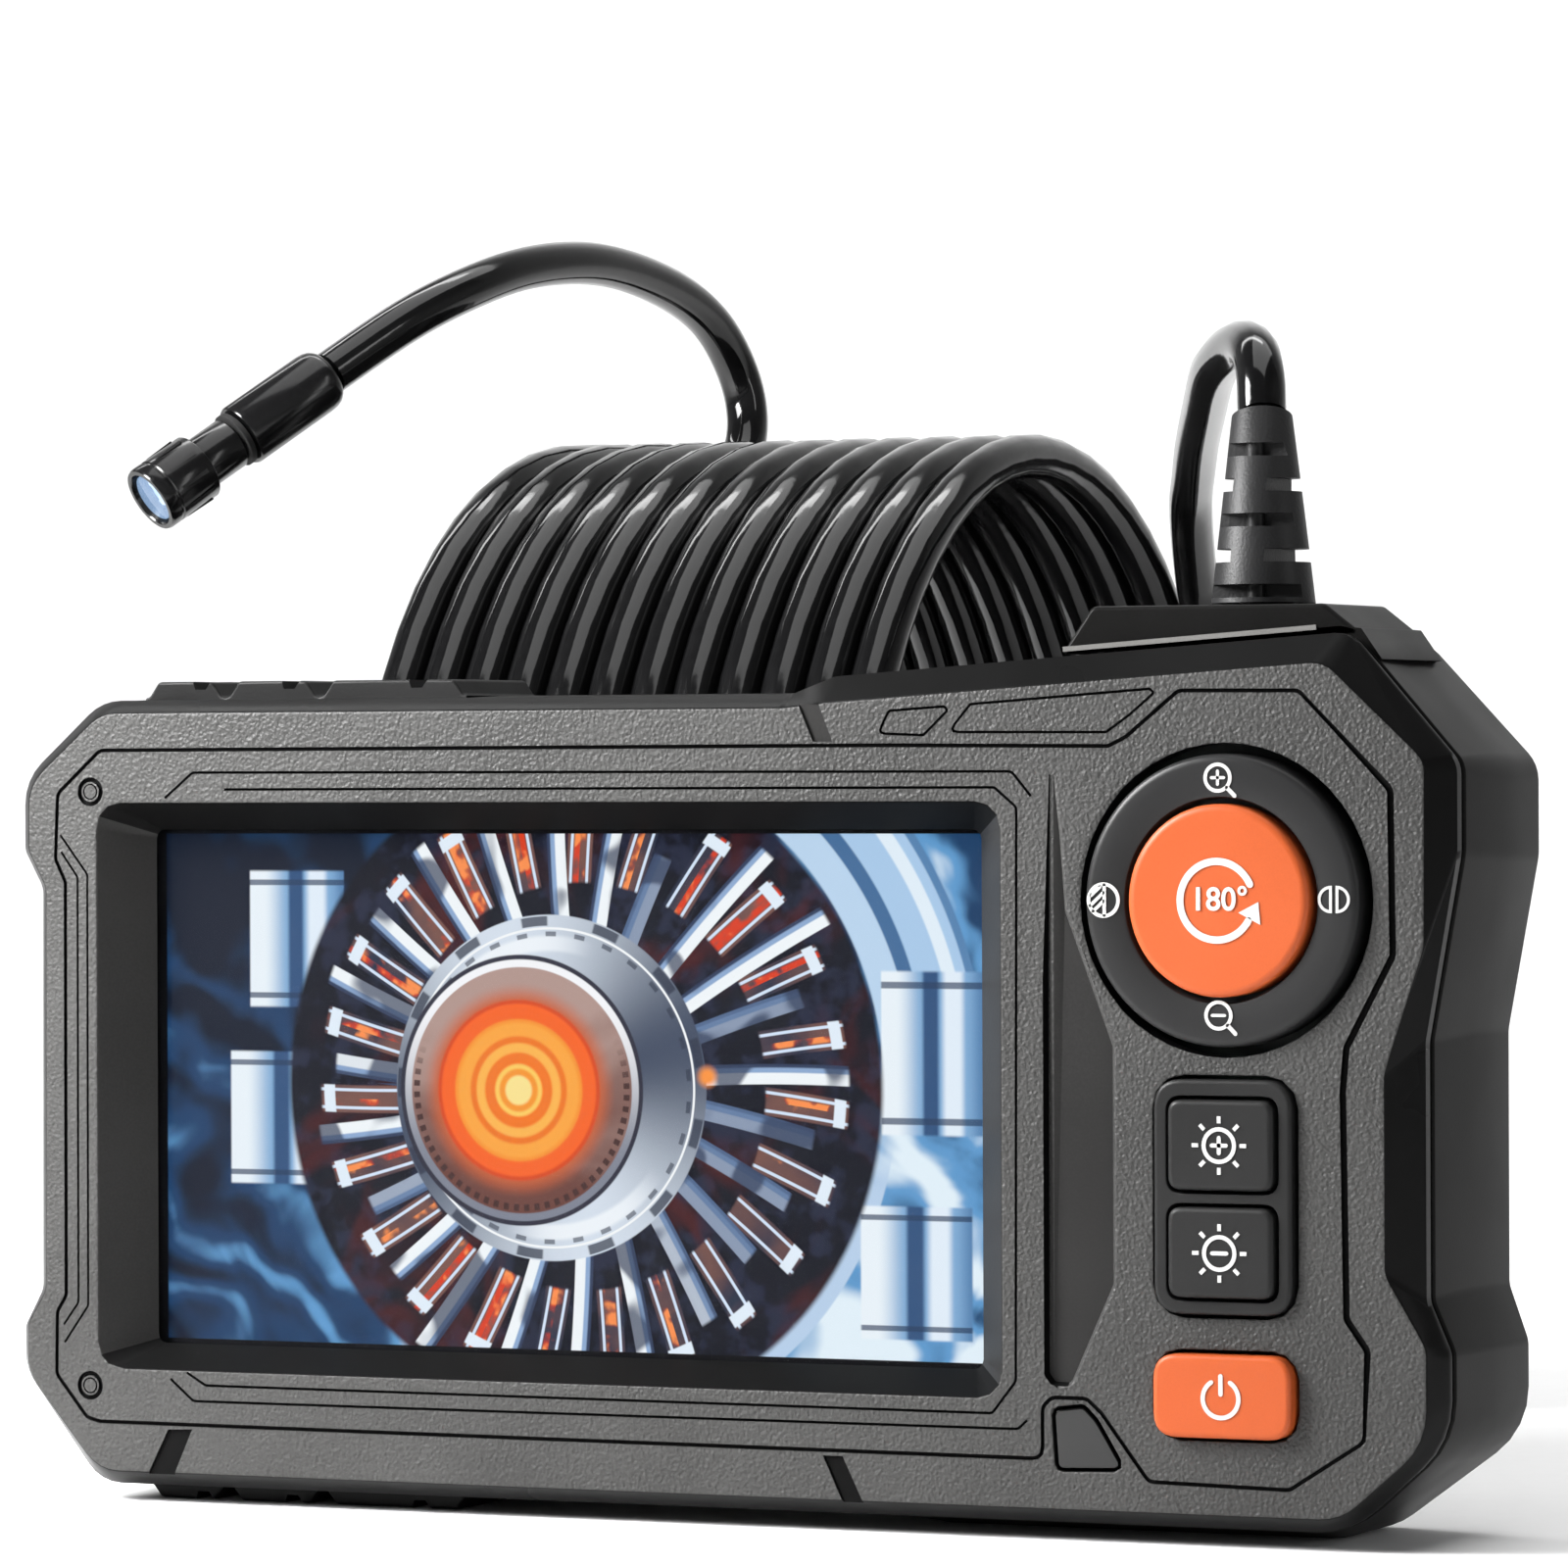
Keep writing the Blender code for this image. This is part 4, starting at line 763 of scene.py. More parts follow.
def smoothLine(points, steps=6):
    # a smooth curve through the points, with steps between each two
    line = []
    for i in range(len(points) - 1):
        p0, p1 = points[max(0, i - 1)], points[i]
        p2, p3 = points[i + 1], points[min(len(points) - 1, i + 2)]
        for k in range(steps):
            t = k / steps
            line.append(0.5 * (2 * p1 + (p2 - p0) * t + (2 * p0 - 5 * p1 + 4 * p2 - p3) * t ** 2
                               + (3 * p1 - p0 - 3 * p2 + p3) * t ** 3))
    return line + [points[-1]]


def relaxed(line, passes=10):
    # takes the small kinks out of a line, and leaves its ends
    for _ in range(passes):
        inner = [(a + 2 * b + c) / 4 for a, b, c in zip(line, line[1:], line[2:])]
        line = [line[0]] + inner + [line[-1]]
    return line


def makeCable():
    coil = coilPoints()
    step = cable["perTurn"] // 14
    riser = smoothLine([Vector(p) for p in cable["riser"]] + [coil[0], coil[step]])
    lead = smoothLine([coil[-1 - step], coil[-1]] + [Vector(p) for p in cable["lead"]])
    riser, lead = relaxed(riser[:-7]), relaxed(lead[6:])
    line = riser + coil[:-1] + lead
    data = bpy.data.curves.new("probeCable", "CURVE")
    data.dimensions = "3D"
    spline = data.splines.new("POLY")
    spline.points.add(len(line) - 1)
    for spot, point in zip(spline.points, line):
        spot.co = (*point, 1)
    data.bevel_depth, data.bevel_resolution, data.use_fill_caps = mm(cable["radius"]), cable["sides"], True
    data.materials.append(finishes["cableJacket"])
    piece = bpy.data.objects.new("probeCable", data)
    scene.collection.objects.link(piece)
    settle(piece, "handset", "cable_jacket", "cable_riser", "cable_coil", "cable_lead")
    print("cable", round(sum((b - a).length for a, b in zip(line, line[1:])), 3), "m")
    return piece


probeCable = makeCable()

# ---- the probe at the cable's end
probe = {
    "gap": 0.3,
    "collar": [(2.6, 0), (3.05, 0.25), (3.4, 0.7), (3.58, 1.3), (3.65, 2.2), (3.65, 12.75), (3.5, 13.0)],
    "seal": [(3.1, 13.3), (3.25, 13.4), (3.25, 14.0), (3.1, 14.1)],
    "neck": [(2.85, 14.4), (3.0, 14.6), (3.0, 19.3), (3.1, 19.4), (3.8, 19.4), (3.9, 19.55)],
    "head": [(3.9, 24.6), (3.78, 24.75), (3.78, 24.95), (3.9, 25.1), (3.9, 26.2), (3.75, 26.5), (3.25, 26.5),
             (3.12, 26.3), (3.1, 20.6)],
    "window": [(2.8, 24.95), (2.8, 26.0), (2.65, 26.1)],
    "module": [(1.5, 20.8), (1.5, 24.2), (1.2, 24.4), (0.9, 24.6), (0.45, 24.68)],
    "board": [(2.8, 23.85), (2.8, 24.35), (1.8, 24.35), (1.8, 23.85)],
    "leds": 6, "ledRadius": 2.3, "ledSide": 0.85, "ledThick": 0.25, "ledFrom": 24.35, "chipEdge": 0.1,
    "ribs": 10, "ribLong": 3.6, "ribWide": 0.5, "ribThick": 0.14, "ribRadius": 3.9, "ribFrom": 20.3,
}


def chip(long, wide, thick, finish, edge=0.0):
    # a small block at the origin, long in X and standing on Z = 0
    bm = bmesh.new()
    for x in (-long / 2, long / 2):
        for y in (-wide / 2, wide / 2):
            for z in (0, thick):
                inset = edge if z else 0
                bm.verts.new((mm(x - math.copysign(inset, x)), mm(y - math.copysign(inset, y)), mm(z)))
    bmesh.ops.convex_hull(bm, input=bm.verts)
    return solid("chip", bm, finish)


def makeProbe():
    start = Vector(cable["lead"][-1]) + probeAim * mm(probe["gap"])
    turn = Vector((0, 0, 1)).rotation_difference(probeAim).to_euler()
    edge = probe["chipEdge"]

    def turned(name, profile, finish, loop=False):
        bm = bmesh.new()
        lathe(bm, profile, start, probeAim, 64, loop)
        return solid(name, bm, finish, 38)

    def ring(name, shape, finish, count, radius, along):
        return repeat(ringOfCopies, name, shape, finish, Count=count, Radius=mm(radius),
                      Place=start + probeAim * mm(along), Turn=turn)

    collar = turned("probeCollar", probe["collar"], "probeBlack")
    seal = turned("probeSeal", probe["seal"], "sealRubber")
    head = turned("probeHead", probe["neck"] + probe["head"], "probeBlack")
    rib = chip(probe["ribThick"] * 2, probe["ribWide"], probe["ribLong"], "probeBlack", edge)
    merge(head, ring("headRibs", rib, "probeBlack", probe["ribs"], probe["ribRadius"], probe["ribFrom"]))
    # the window's and the board's glow is painted light from the diodes; the diodes themselves glow as lamps
    window = turned("probeWindow", probe["window"], "probeGlassPaintedGlow")
    board = turned("probeLights", probe["board"], "boardPaintedGlow", loop=True)
    led = chip(probe["ledSide"], probe["ledSide"], probe["ledThick"], "boardPaintedGlow", edge)
    merge(board, ring("leds", led, "ledBright", probe["leds"], probe["ledRadius"], probe["ledFrom"]))
    module = turned("cameraModule", probe["module"], "lensBlack")
    made = [    # piece, slot, the node that it replaces
        (collar, "probe_housing", "probe_collar"), (seal, "seal_rubber", "probe_seal"),
        (head, "probe_housing", "probe_body"), (window, "window_glass", "probe_window"),
        (board, "led_board", "led_ring"), (module, "lens_black", "camera_module"),
    ]
    print("probe")
    return [settle(piece, "handset", slot, node) for piece, slot, node in made]


probeParts = makeProbe()

# ---- front shell: its edges, the grooves drawn on the face, and the pocket beside the keys
front = {
    "edge": 0.25, "grooveDeep": 0.42, "proud": 0.6,
    "lines": [    # width, corner radius, closed, points
        (0.50, 1.2, True, [(-52.1, 35.9), (-57.3, 31.3), (-57.6, 24.3), (-56.4, 21.9), (-56.5, -22.3),
                           (-57.6, -24.0), (-57.7, -30.7), (-54.0, -35.2), (-52.4, -35.6), (56.6, -35.8),
                           (56.6, -30.6), (57.6, -29.6), (61.4, -29.6), (63.0, -31.0), (68.1, -37.7),
                           (83.1, -38.0), (91.0, -33.0), (91.4, -24.0), (89.2, -20.9), (88.9, 1.6),
                           (89.3, 5.9), (94.2, 15.0), (94.0, 31.4), (84.4, 41.2), (71.6, 41.3),
                           (65.9, 36.7), (64.0, 35.8), (39.5, 36.0)]),
        (0.34, 0.8, False, [(-37.0, 31.7), (51.6, 31.7), (54.0, 29.7), (53.7, -28.1), (51.1, -31.4),
                            (-39.5, -31.4), (-41.8, -30.1)]),
        (0.34, 0.8, False, [(-44.2, 30.8), (-40.8, 33.5), (53.5, 33.3), (55.6, 30.8)]),
        (0.34, 0.8, False, [(54.9, -32.0), (53.9, -32.9), (-41.0, -33.1), (-43.8, -30.8)]),
        (0.30, 0.8, False, [(-57.0, 26.9), (-53.7, 22.7), (-53.8, -23.3), (-56.7, -27.3)]),
        (0.30, 0.8, False, [(-56.9, 25.1), (-54.9, 22.4), (-55.0, -23.0), (-56.8, -25.4)]),
        (0.34, 0.5, True, [(40.0, 39.5), (46.1, 39.9), (46.5, 39.5), (43.8, 37.0), (38.8, 37.2)]),
        (0.34, 0.5, True, [(49.0, 40.1), (68.5, 41.5), (69.0, 41.1), (66.3, 38.9), (63.8, 37.2),
                           (46.6, 37.3)]),
    ],
    "marks": [(-53.3, 31.5), (-53.6, -31.8)], "markRings": [(1.3, 0.48), (0.78, 0.16)],
    "heavy": [(86.0, 39.6), (94.0, 31.4), (94.2, 15.0), (89.3, 5.9), (88.9, 1.6), (89.2, -20.9),
              (91.4, -24.0), (91.0, -33.0)],
    "heavyWide": 0.85, "heavyDeep": 0.44,
    "stripes": [[(29.8, 40.3), (32.1, 40.3), (33.7, 36.4), (31.5, 36.4)],
                [(32.3, -36.3), (34.5, -36.3), (36.9, -41.2), (34.6, -41.2)],
                [(-44.1, -36.2), (-41.2, -36.1), (-43.5, -41.2), (-46.7, -41.2)]],
    "stripeDeep": 0.28,
    "pocket": [(56.8, 12.5), (56.8, -27.4), (57.6, -28.4), (59.7, -28.4), (64.5, -18.2), (64.5, 5.8),
               (59.4, 19.4), (58.9, 27.0), (58.3, 33.4), (57.5, 33.4)],
    "pocketFloor": [(57.0, 12.4), (57.0, -27.2), (57.7, -28.1), (59.4, -28.1), (64.0, -18.1), (64.0, 5.7),
                    (59.0, 19.2), (58.55, 26.9), (58.0, 32.9), (57.6, 32.9)],
    "pocketRounds": (0.6, 0.6, 0.5, 0.7, 0.8, 0.8, 1.5, 0.6, 0.3, 0.3),
    "pocketDeep": 0.95, "pocketEdge": 0.28, "pocketBox": (58, 66, -29.2, 34),
    "ramp": (12.0, 33.4), "rampEnd": 0.12,
    "hood": (53.0, 30.6), "skin": 0.02,
}
faceFinishes = ("facePlastic", "rimPlastic", "hoodPlastic", "stripeBlackAndGrooveShade")


def pathOf(points, radius, closed, steps=3):
    return roundCorners([(u, v, radius) for u, v in points], steps, closed)


def shellPart(centre, normal):
    # the finish's number for a face: the front, the hood round the display, whose ledges facing up or down
    # take the near-black groove finish as painted shade, or the rim
    u, v, d = faceSpot(centre)
    if d < front["skin"]:
        return 0
    if abs(u) < front["hood"][0] and abs(v) < front["hood"][1]:
        return 3 if abs(normal.z) > 0.4 else 2
    return 1


def pocketPart(centre, normal):
    # the floor in the face's finish up the ramp and in the hood's below it; the right wall in the face's
    # finish, the other walls near-black as painted shade
    if normal.y > 0.7:
        return 0 if faceSpot(centre)[1] > front["ramp"][0] else 2
    return 0 if normal.x > 0.25 else 3


# a cutter's faces become the walls and floor of the cut; unless the chooser says otherwise they take the
# near-black groove finish, painted shade in the cut
def cutFace(shell, bm, chooser=lambda centre, normal: 3):
    cutter = fromBmesh("cutter", bm)
    cut(shell, paint(cutter, *faceFinishes, chooser=chooser))


def cutPocket(shell):
    proud, deep = front["proud"], front["pocketDeep"]
    top, floor = [roundCorners([(u, v, r) for (u, v), r in zip(front[key], front["pocketRounds"])], 4)
                  for key in ("pocket", "pocketFloor")]
    above = [a + (a - b) * (proud / deep) for a, b in zip(top, floor)]
    bm = bmesh.new()
    plate(bm, [above, floor], [-proud, deep])
    start, end = front["ramp"]
    for vert in bm.verts:    # the floor climbs to the face towards the pocket's upper end
        u, v, d = faceSpot(vert.co)
        if d > 0 and v > start:
            vert.co.y -= mm((deep - front["rampEnd"]) * min(1, (v - start) / (end - start)))
    bmesh.ops.triangulate(bm, faces=bm.faces)
    cutFace(shell, bm, pocketPart)
    left, right, low, high = front["pocketBox"]
    bevelWhere(shell, front["pocketEdge"],
               lambda u, v, d: d < front["skin"] and left < u < right and low < v < high)


def makeFrontShell():
    shell = cadCopy("front_shell", "frontShell")
    paint(shell, *faceFinishes, chooser=shellPart)
    bevelWhere(shell, front["edge"], lambda u, v, d: d < front["skin"])
    deep, proud = front["grooveDeep"], -front["proud"]
    for width, radius, closed, points in front["lines"]:
        bm = bmesh.new()
        ribbon(bm, pathOf(points, radius, closed), width, proud, deep, closed, taper=0.7)
        cutFace(shell, bm)
    bm = bmesh.new()
    for u, v in front["marks"]:
        for radius, width in front["markRings"]:
            ribbon(bm, arc(u, v, radius), width, proud, deep, True)
    cutFace(shell, bm)
    bm = bmesh.new()
    for corners in front["stripes"]:
        plate(bm, [corners, corners], [proud, front["stripeDeep"]])
    cutFace(shell, bm, lambda centre, normal: 2 if faceSpot(centre)[1] > 0 else 3)
    bm = bmesh.new()
    line = pathOf(front["heavy"], 1.2, False)
    ribbon(bm, line, front["heavyWide"], proud, front["heavyDeep"], taper=0.7, fade=0.5)
    cutFace(shell, bm)
    cutPocket(shell)
    even(shell, 44)
    settle(shell, "handset", "face_plastic", "front_shell")
    print("front shell")


makeFrontShell()

# ---- rear shell, the block over the cable's outlet, and the rubber pads
rear = {
    # panel and label as boxCorners takes them
    "edge": 0.3, "panel": (0.0, 0.0, 92.0, 54.0, 8.0), "grooveWide": 0.7, "grooveDeep": 0.45, "proud": 0.6,
    "label": (0.0, 0.0, 50.0, 26.0, 2.5), "labelDeep": 0.35,
    "ribs": 9, "ribLong": 22.0, "ribWide": 1.1, "ribThick": 0.45, "ribPitch": 2.6, "ribSink": 0.2,
    "ribPlaces": [(-37.5, 0.0), (37.5, 0.0)], "ribSqueeze": 0.45, "ribSlope": 0.3,
    "vents": 7, "ventPitch": 2.6, "ventLong": 11.0, "ventWide": 1.1, "ventPlace": (66.0, 20.0),
    "ventDeep": 1.0, "ventCutter": 1.6,
}


def rowAt(name, shape, finish, count, pitch, u, v, d):
    # copies one above the other on the back: their middle at u, v and their nearest point at depth d
    row = repeat(rowOfCopies, name, shape, finish, Count=count, Pitch=(0, mm(pitch), 0),
                 Place=place(0, 0, 0), Turn=(-math.pi / 2, 0, 0))
    spots = [p.co for p in row.data.vertices]
    low, high = [Vector([pick(p[k] for p in spots) for k in range(3)]) for pick in (min, max)]
    near = Vector(((low.x + high.x) / 2, low.y, (low.z + high.z) / 2))
    row.data.transform(Matrix.Translation(place(u, v, d) - near))
    return row


def makeRearShell():
    shell = cadCopy("rear_shell", "rearShell")
    paint(shell, "shellPlastic", "stripeBlackAndGrooveShade")
    seam, back = [(corner.y - shellLow.y) * 1000 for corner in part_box("rear_shell")]
    bevelWhere(shell, rear["edge"], lambda u, v, d: d < seam + 0.03)
    bm = bmesh.new()
    outline = roundCorners(boxCorners(*rear["panel"]), 5)
    ribbon(bm, outline, rear["grooveWide"], back + rear["proud"], back - rear["grooveDeep"], True)
    label = roundCorners(boxCorners(*rear["label"]), 4)
    plate(bm, [label, label], [back + rear["proud"], back - rear["labelDeep"]])
    cut(shell, solid("cutter", bm, "shellPlastic"))
    vent = chip(rear["ventLong"], rear["ventWide"], rear["ventCutter"], "stripeBlackAndGrooveShade")
    vents = rowAt("vents", vent, "stripeBlackAndGrooveShade", rear["vents"], rear["ventPitch"], *rear["ventPlace"],
                  back - rear["ventDeep"])
    # the vents' walls and floors take the near-black groove finish: painted shade in the slots
    cut(shell, paint(vents, "shellPlastic", "stripeBlackAndGrooveShade", chooser=lambda centre, normal: 1))
    for u, v in rear["ribPlaces"]:
        rib = chip(rear["ribLong"], rear["ribWide"], rear["ribThick"] + rear["ribSink"], "shellPlastic",
                   rear["ribSlope"])
        bars = rowAt("ribs", rib, "shellPlastic", rear["ribs"], rear["ribPitch"], u, v,
                     back - rear["ribSink"])
        middle = place(u, v, 0)
        for spot in bars.data.vertices:    # the bars stand upright beside the label, closer together
            x, z = spot.co.x - middle.x, spot.co.z - middle.z
            spot.co.x, spot.co.z = middle.x + z * rear["ribSqueeze"], middle.z - x
        merge(shell, bars)
    even(shell, 50)
    settle(shell, "handset", "shell_plastic", "rear_shell")
    print("rear shell")


makeRearShell()

outlet = {
    "edge": 0.45, "trim": [(57.3, 45.6), (84.6, 47.53)], "trimWide": 0.5, "trimRise": 0.12, "trimSink": 0.3,
    "filler": [(80.0, 48.3), (89.3, 47.4), (91.5, 44.3), (86.0, 43.4)], "fillerFrom": 0.1, "fillerTo": 17.4,
    "padEdge": 0.35, "blocks": [(-49.6, -40.6), (-39.8, -29.2), (-28.4, -11.6)], "notchAt": 0.62,
    "notch": [(-0.5, 1.0), (2.8, 1.0), (1.5, -0.85), (0.2, -0.85)], "notchReach": (-1.0, 5.0),
}


def makeGland():
    block = bevel(cadCopy("gland_block", "glandBlock"), outlet["edge"], 3, 40)
    paint(block, "shellPlastic")
    start = (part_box("gland_block")[0].y - shellLow.y) * 1000
    bm = bmesh.new()
    ribbon(bm, outlet["trim"], outlet["trimWide"], start - outlet["trimRise"], start + outlet["trimSink"])
    strip = solid("trim", bm, "trimGrey")
    bm = bmesh.new()
    plate(bm, [outlet["filler"]] * 2, [start + outlet["fillerFrom"], start + outlet["fillerTo"]])
    filler = solid("filler", bm, "shellPlastic")
    settle(even(merge(block, strip, filler), 50), "handset", "shell_plastic", "gland_block")


def makePads():
    for name, pieceName, side in (("top_grip_pad", "topGripPad", 1),
                                  ("bottom_grip_pad", "bottomGripPad", -1)):
        low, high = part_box(name)
        pad = bevel(cadCopy(name, pieceName), outlet["padEdge"], 2, 30)
        edge = ((high.z if side > 0 else low.z) - screenMiddle.z) * 1000
        depths = [(low.y - shellLow.y) * 1000 + reach for reach in outlet["notchReach"]]
        bm = bmesh.new()
        for first, last in outlet["blocks"]:
            at = first + (last - first) * outlet["notchAt"]
            plate(bm, [[(at + along, edge + side * up) for along, up in outlet["notch"]]] * 2, depths)
        cut(pad, fromBmesh("cutter", bm))
        paint(pad, "gripRubber")
        settle(even(pad), "handset", "grip_rubber", name)


cover = {
    "edge": 0.25, "ribs": 7, "ribPitch": 2.6, "ribLong": 6.0, "ribWide": 0.8, "ribThick": 0.35,
    "ribSink": 0.2,
    "ribTurn": Matrix(((0, 0, -1), (1, 0, 0), (0, -1, 0))),    # along the depth, standing out to the left
}


def makePortCover():
    low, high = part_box("port_cover")
    piece = bevel(cadCopy("port_cover", "portCover"), cover["edge"], 2, 40)
    paint(piece, "gripRubber")
    sink = cover["ribSink"]
    rib = chip(cover["ribLong"], cover["ribWide"], cover["ribThick"] + sink, "gripRubber", 0.2)
    middle = (low + high) / 2
    half = mm(cover["ribPitch"] * (cover["ribs"] - 1) / 2)
    ribs = repeat(rowOfCopies, "coverRibs", rib, "gripRubber", Count=cover["ribs"],
                  Pitch=(0, mm(cover["ribPitch"]), 0), Place=(low.x + mm(sink), middle.y, middle.z + half),
                  Turn=cover["ribTurn"].to_euler())
    settle(even(merge(piece, ribs)), "port_cover", "grip_rubber", "port_cover")


makeGland()
makePads()
makePortCover()
print("block, pads and port cover")

# ---- strain relief
boot = {
    "u": 74.9, "d": 15.0, "base": 5.3, "top": 3.1, "long": 19.0, "leanU": -1.4, "leanD": 3.4, "neck": 3.2,
    "neckEnd": 37.4, "foot": 50.2, "slots": 5, "pitch": 3.6, "first": 1.2, "slotHigh": 1.35, "core": 1.8,
    "slotReach": 7.0, "post": 0.9, "postOut": 0.2, "postGap": 0.4, "rings": 28, "sides": 56, "ease": 0.05,
}


def bootMiddle(share):
    lean = share * share
    return place(boot["u"] + boot["leanU"] * lean, boot["foot"] + boot["long"] * share,
                 boot["d"] + boot["leanD"] * lean)


def bootBody():
    # a neck in the block, then a cone that leans with the cable
    sides, ease = boot["sides"], boot["ease"]
    upright = Matrix.Identity(3)
    rows = [circleOf(middle, upright, boot["neck"], sides)
            for middle in (place(boot["u"], boot["neckEnd"], boot["d"]), bootMiddle(0))]
    for k in range(boot["rings"] + 1):
        share = k / boot["rings"]
        radius = boot["base"] + (boot["top"] - boot["base"]) * share
        aim = bootMiddle(min(1, share + ease)) - bootMiddle(max(0, share - ease))
        turn = Vector((0, 0, 1)).rotation_difference(aim).to_matrix()
        rows.append(circleOf(bootMiddle(share), turn, radius, sides))
    bm = bmesh.new()
    skin(bm, rows)
    return fromBmesh("strainRelief", bm)


def bootSlots():
    # pairs of slots that leave a core, turned by a quarter from one level to the next
    near, far = mm(boot["core"]), mm(boot["slotReach"])
    bm = bmesh.new()
    for number in range(boot["slots"]):
        middle = bootMiddle((boot["first"] + number * boot["pitch"]) / boot["long"])
        for side in (-1, 1):
            corners = [(side * near, -far), (side * near, far), (side * far, far), (side * far, -far)]
            if number % 2 == 0:
                corners = [(y, x) for x, y in corners]
            skin(bm, [[middle + Vector((x, y, mm(level * boot["slotHigh"] / 2))) for x, y in corners]
                      for level in (-1, 1)])
    return fromBmesh("cutter", bm)


def bootPosts():
    # a round post stands in each of the front slots
    out, gap, pitch = boot["core"] + boot["postOut"], boot["postGap"], boot["pitch"]
    bm = bmesh.new()
    for number in range(0, boot["slots"], 2):
        middle = bootMiddle((boot["first"] + number * pitch) / boot["long"])
        for side in (-1, 1):
            foot = middle + Vector((0, mm(side * out), mm(-0.5 * pitch)))
            lathe(bm, [(boot["post"], gap), (boot["post"], pitch - gap)], foot, Vector((0, 0, 1)), 24)
    return solid("posts", bm, "bootRubber")


def makeBoot():
    piece = paint(cut(bootBody(), bootSlots()), "bootRubber")
    settle(even(merge(piece, bootPosts()), 50), "handset", "boot_rubber", "strain_relief")
    print("strain relief")


makeBoot()

# ---- ring pad, centre button, keys and their signs
pad = {
    "u": 76.5, "v": 20.4, "sides": 128,
    "ring": [(10.2, 2.6), (10.2, -0.95), (10.32, -1.2), (10.6, -1.3), (13.75, -1.3), (14.15, -1.24),
             (14.42, -1.05), (14.56, -0.78), (14.6, -0.45), (14.6, 2.6)],
    "neck": [(7.8, -1.6), (9.6, -1.6)],
    "button": [(9.6, -1.55), (9.56, -1.8), (9.42, -2.0), (9.15, -2.15), (8.75, -2.2)],
}
signs = {
    # the white figures: bar width, how far they stand out and reach in, places from the key's middle
    "thin": 0.36, "proud": 0.10, "sink": 0.05,
    "plusSpot": (-0.2, 12.2), "minusSpot": (-0.2, -11.4), "lens": 1.32, "handle": (1.0, 1.8), "stroke": 0.65,
    "dial": (-12.5, 1.6, 1.5), "hatch": [(-1.42, -0.55, 0.0, 0.75), (-1.1, -1.1, 0.0, -0.1),
                                         (-1.35, 0.45, -0.35, 1.35)],
    "moons": (12.05, 0.15), "moonGap": 0.34, "moonRadius": 1.2,
    "turn": (3.9, 25, 330), "turnWide": 0.72, "arrowAt": -27, "arrow": (1.3, 1.9, 0.1),
    "figures": "180°", "figureHigh": 2.35, "figureSpot": (0.3, 0.05),
    "sun": 1.62, "sunStroke": 0.75, "rays": 8, "rayRadius": 2.55, "ray": (0.72, 0.42),
    "power": (1.9, 122, 418), "powerWide": 0.45, "powerSpot": -0.15, "powerBar": (0.3, 2.1),
}
panel = {
    "u": 76.4, "keyWide": 11.2, "keyHigh": 9.0, "keyRise": 1.6, "keyCorner": 1.4, "keyUp": -3.9,
    "keyDown": -14.6, "keySink": 3.0, "stem": 3.2,
    "surroundV": -9.1, "surroundWide": 14.7, "surroundHigh": 23.4, "surroundRise": 0.9, "surroundSink": 2.4,
    "surroundCorner": 3.0, "holeGap": 0.35, "holeReach": (-3.0, 5.0), "holeEdge": 0.2, "holeBox": 6.1,
    "powerV": -28.9, "powerWide": 14.7, "powerHigh": 8.3, "powerRise": 1.4, "powerCorner": 2.5,
}


def stemEnd(node):
    return (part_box(node)[1].y - shellLow.y) * 1000


def signOf(name, rise, lines, extra=()):
    # white bars on a surface that stands out by rise: (points, width, closed)
    depths = [-rise - signs["proud"], signs["sink"] - rise]
    bm = bmesh.new()
    for points, width, closed in lines:
        ribbon(bm, points, width, *depths, closed, roundEnds=not closed)
    for corners in extra:
        plate(bm, [corners, corners], depths)
    return solid(name, bm, "iconWhite")


def crossOf(u, v, half, width, plus):
    lines = [([(u - half, v), (u + half, v)], width, False)]
    return lines + ([([(u, v - half), (u, v + half)], width, False)] if plus else [])


def magnifier(spot, plus):
    u, v, thin = pad["u"] + spot[0], pad["v"] + spot[1], signs["thin"]
    near, far = signs["handle"]
    return [(arc(u, v, signs["lens"]), thin, True),
            ([(u + near, v - near), (u + far, v - far)], thin * 1.15, False),
            *crossOf(u, v, signs["stroke"], thin * 0.85, plus)]


def dialAndMoons():
    # a half-hatched dial at the left, and two half moons at the right
    away, radius, half = signs["dial"]
    u, v, thin = pad["u"] + away, pad["v"], signs["thin"]
    lines = [(arc(u, v, radius), thin, True), ([(u + 0.1, v - half), (u + 0.1, v + half)], thin, False)]
    lines += [([(u + u0, v + v0), (u + u1, v + v1)], thin * 0.9, False) for u0, v0, u1, v1 in signs["hatch"]]
    u, v = pad["u"] + signs["moons"][0], v + signs["moons"][1]
    for side in (-1, 1):
        lines.append((halfMoon(u + side * signs["moonGap"], v, signs["moonRadius"], side), thin * 0.8, True))
    return lines


def halfMoon(u, v, radius, side):
    # one half of a circle, closed by its straight side
    start = -90 if side > 0 else 90
    return arc(u, v, radius, start, start + 180, 20)


def turnArrow():
    # the tip of the round arrow on the centre button
    half, long, lean = signs["arrow"]
    angle = math.radians(signs["arrowAt"])
    radius = signs["turn"][0]
    start = Vector((pad["u"] + radius * math.cos(angle), pad["v"] + radius * math.sin(angle)))
    aim = Vector((-math.sin(angle), math.cos(angle)))
    across = Vector((aim.y, -aim.x))
    return [start - across * half, start + across * half, start + aim * long + across * lean]


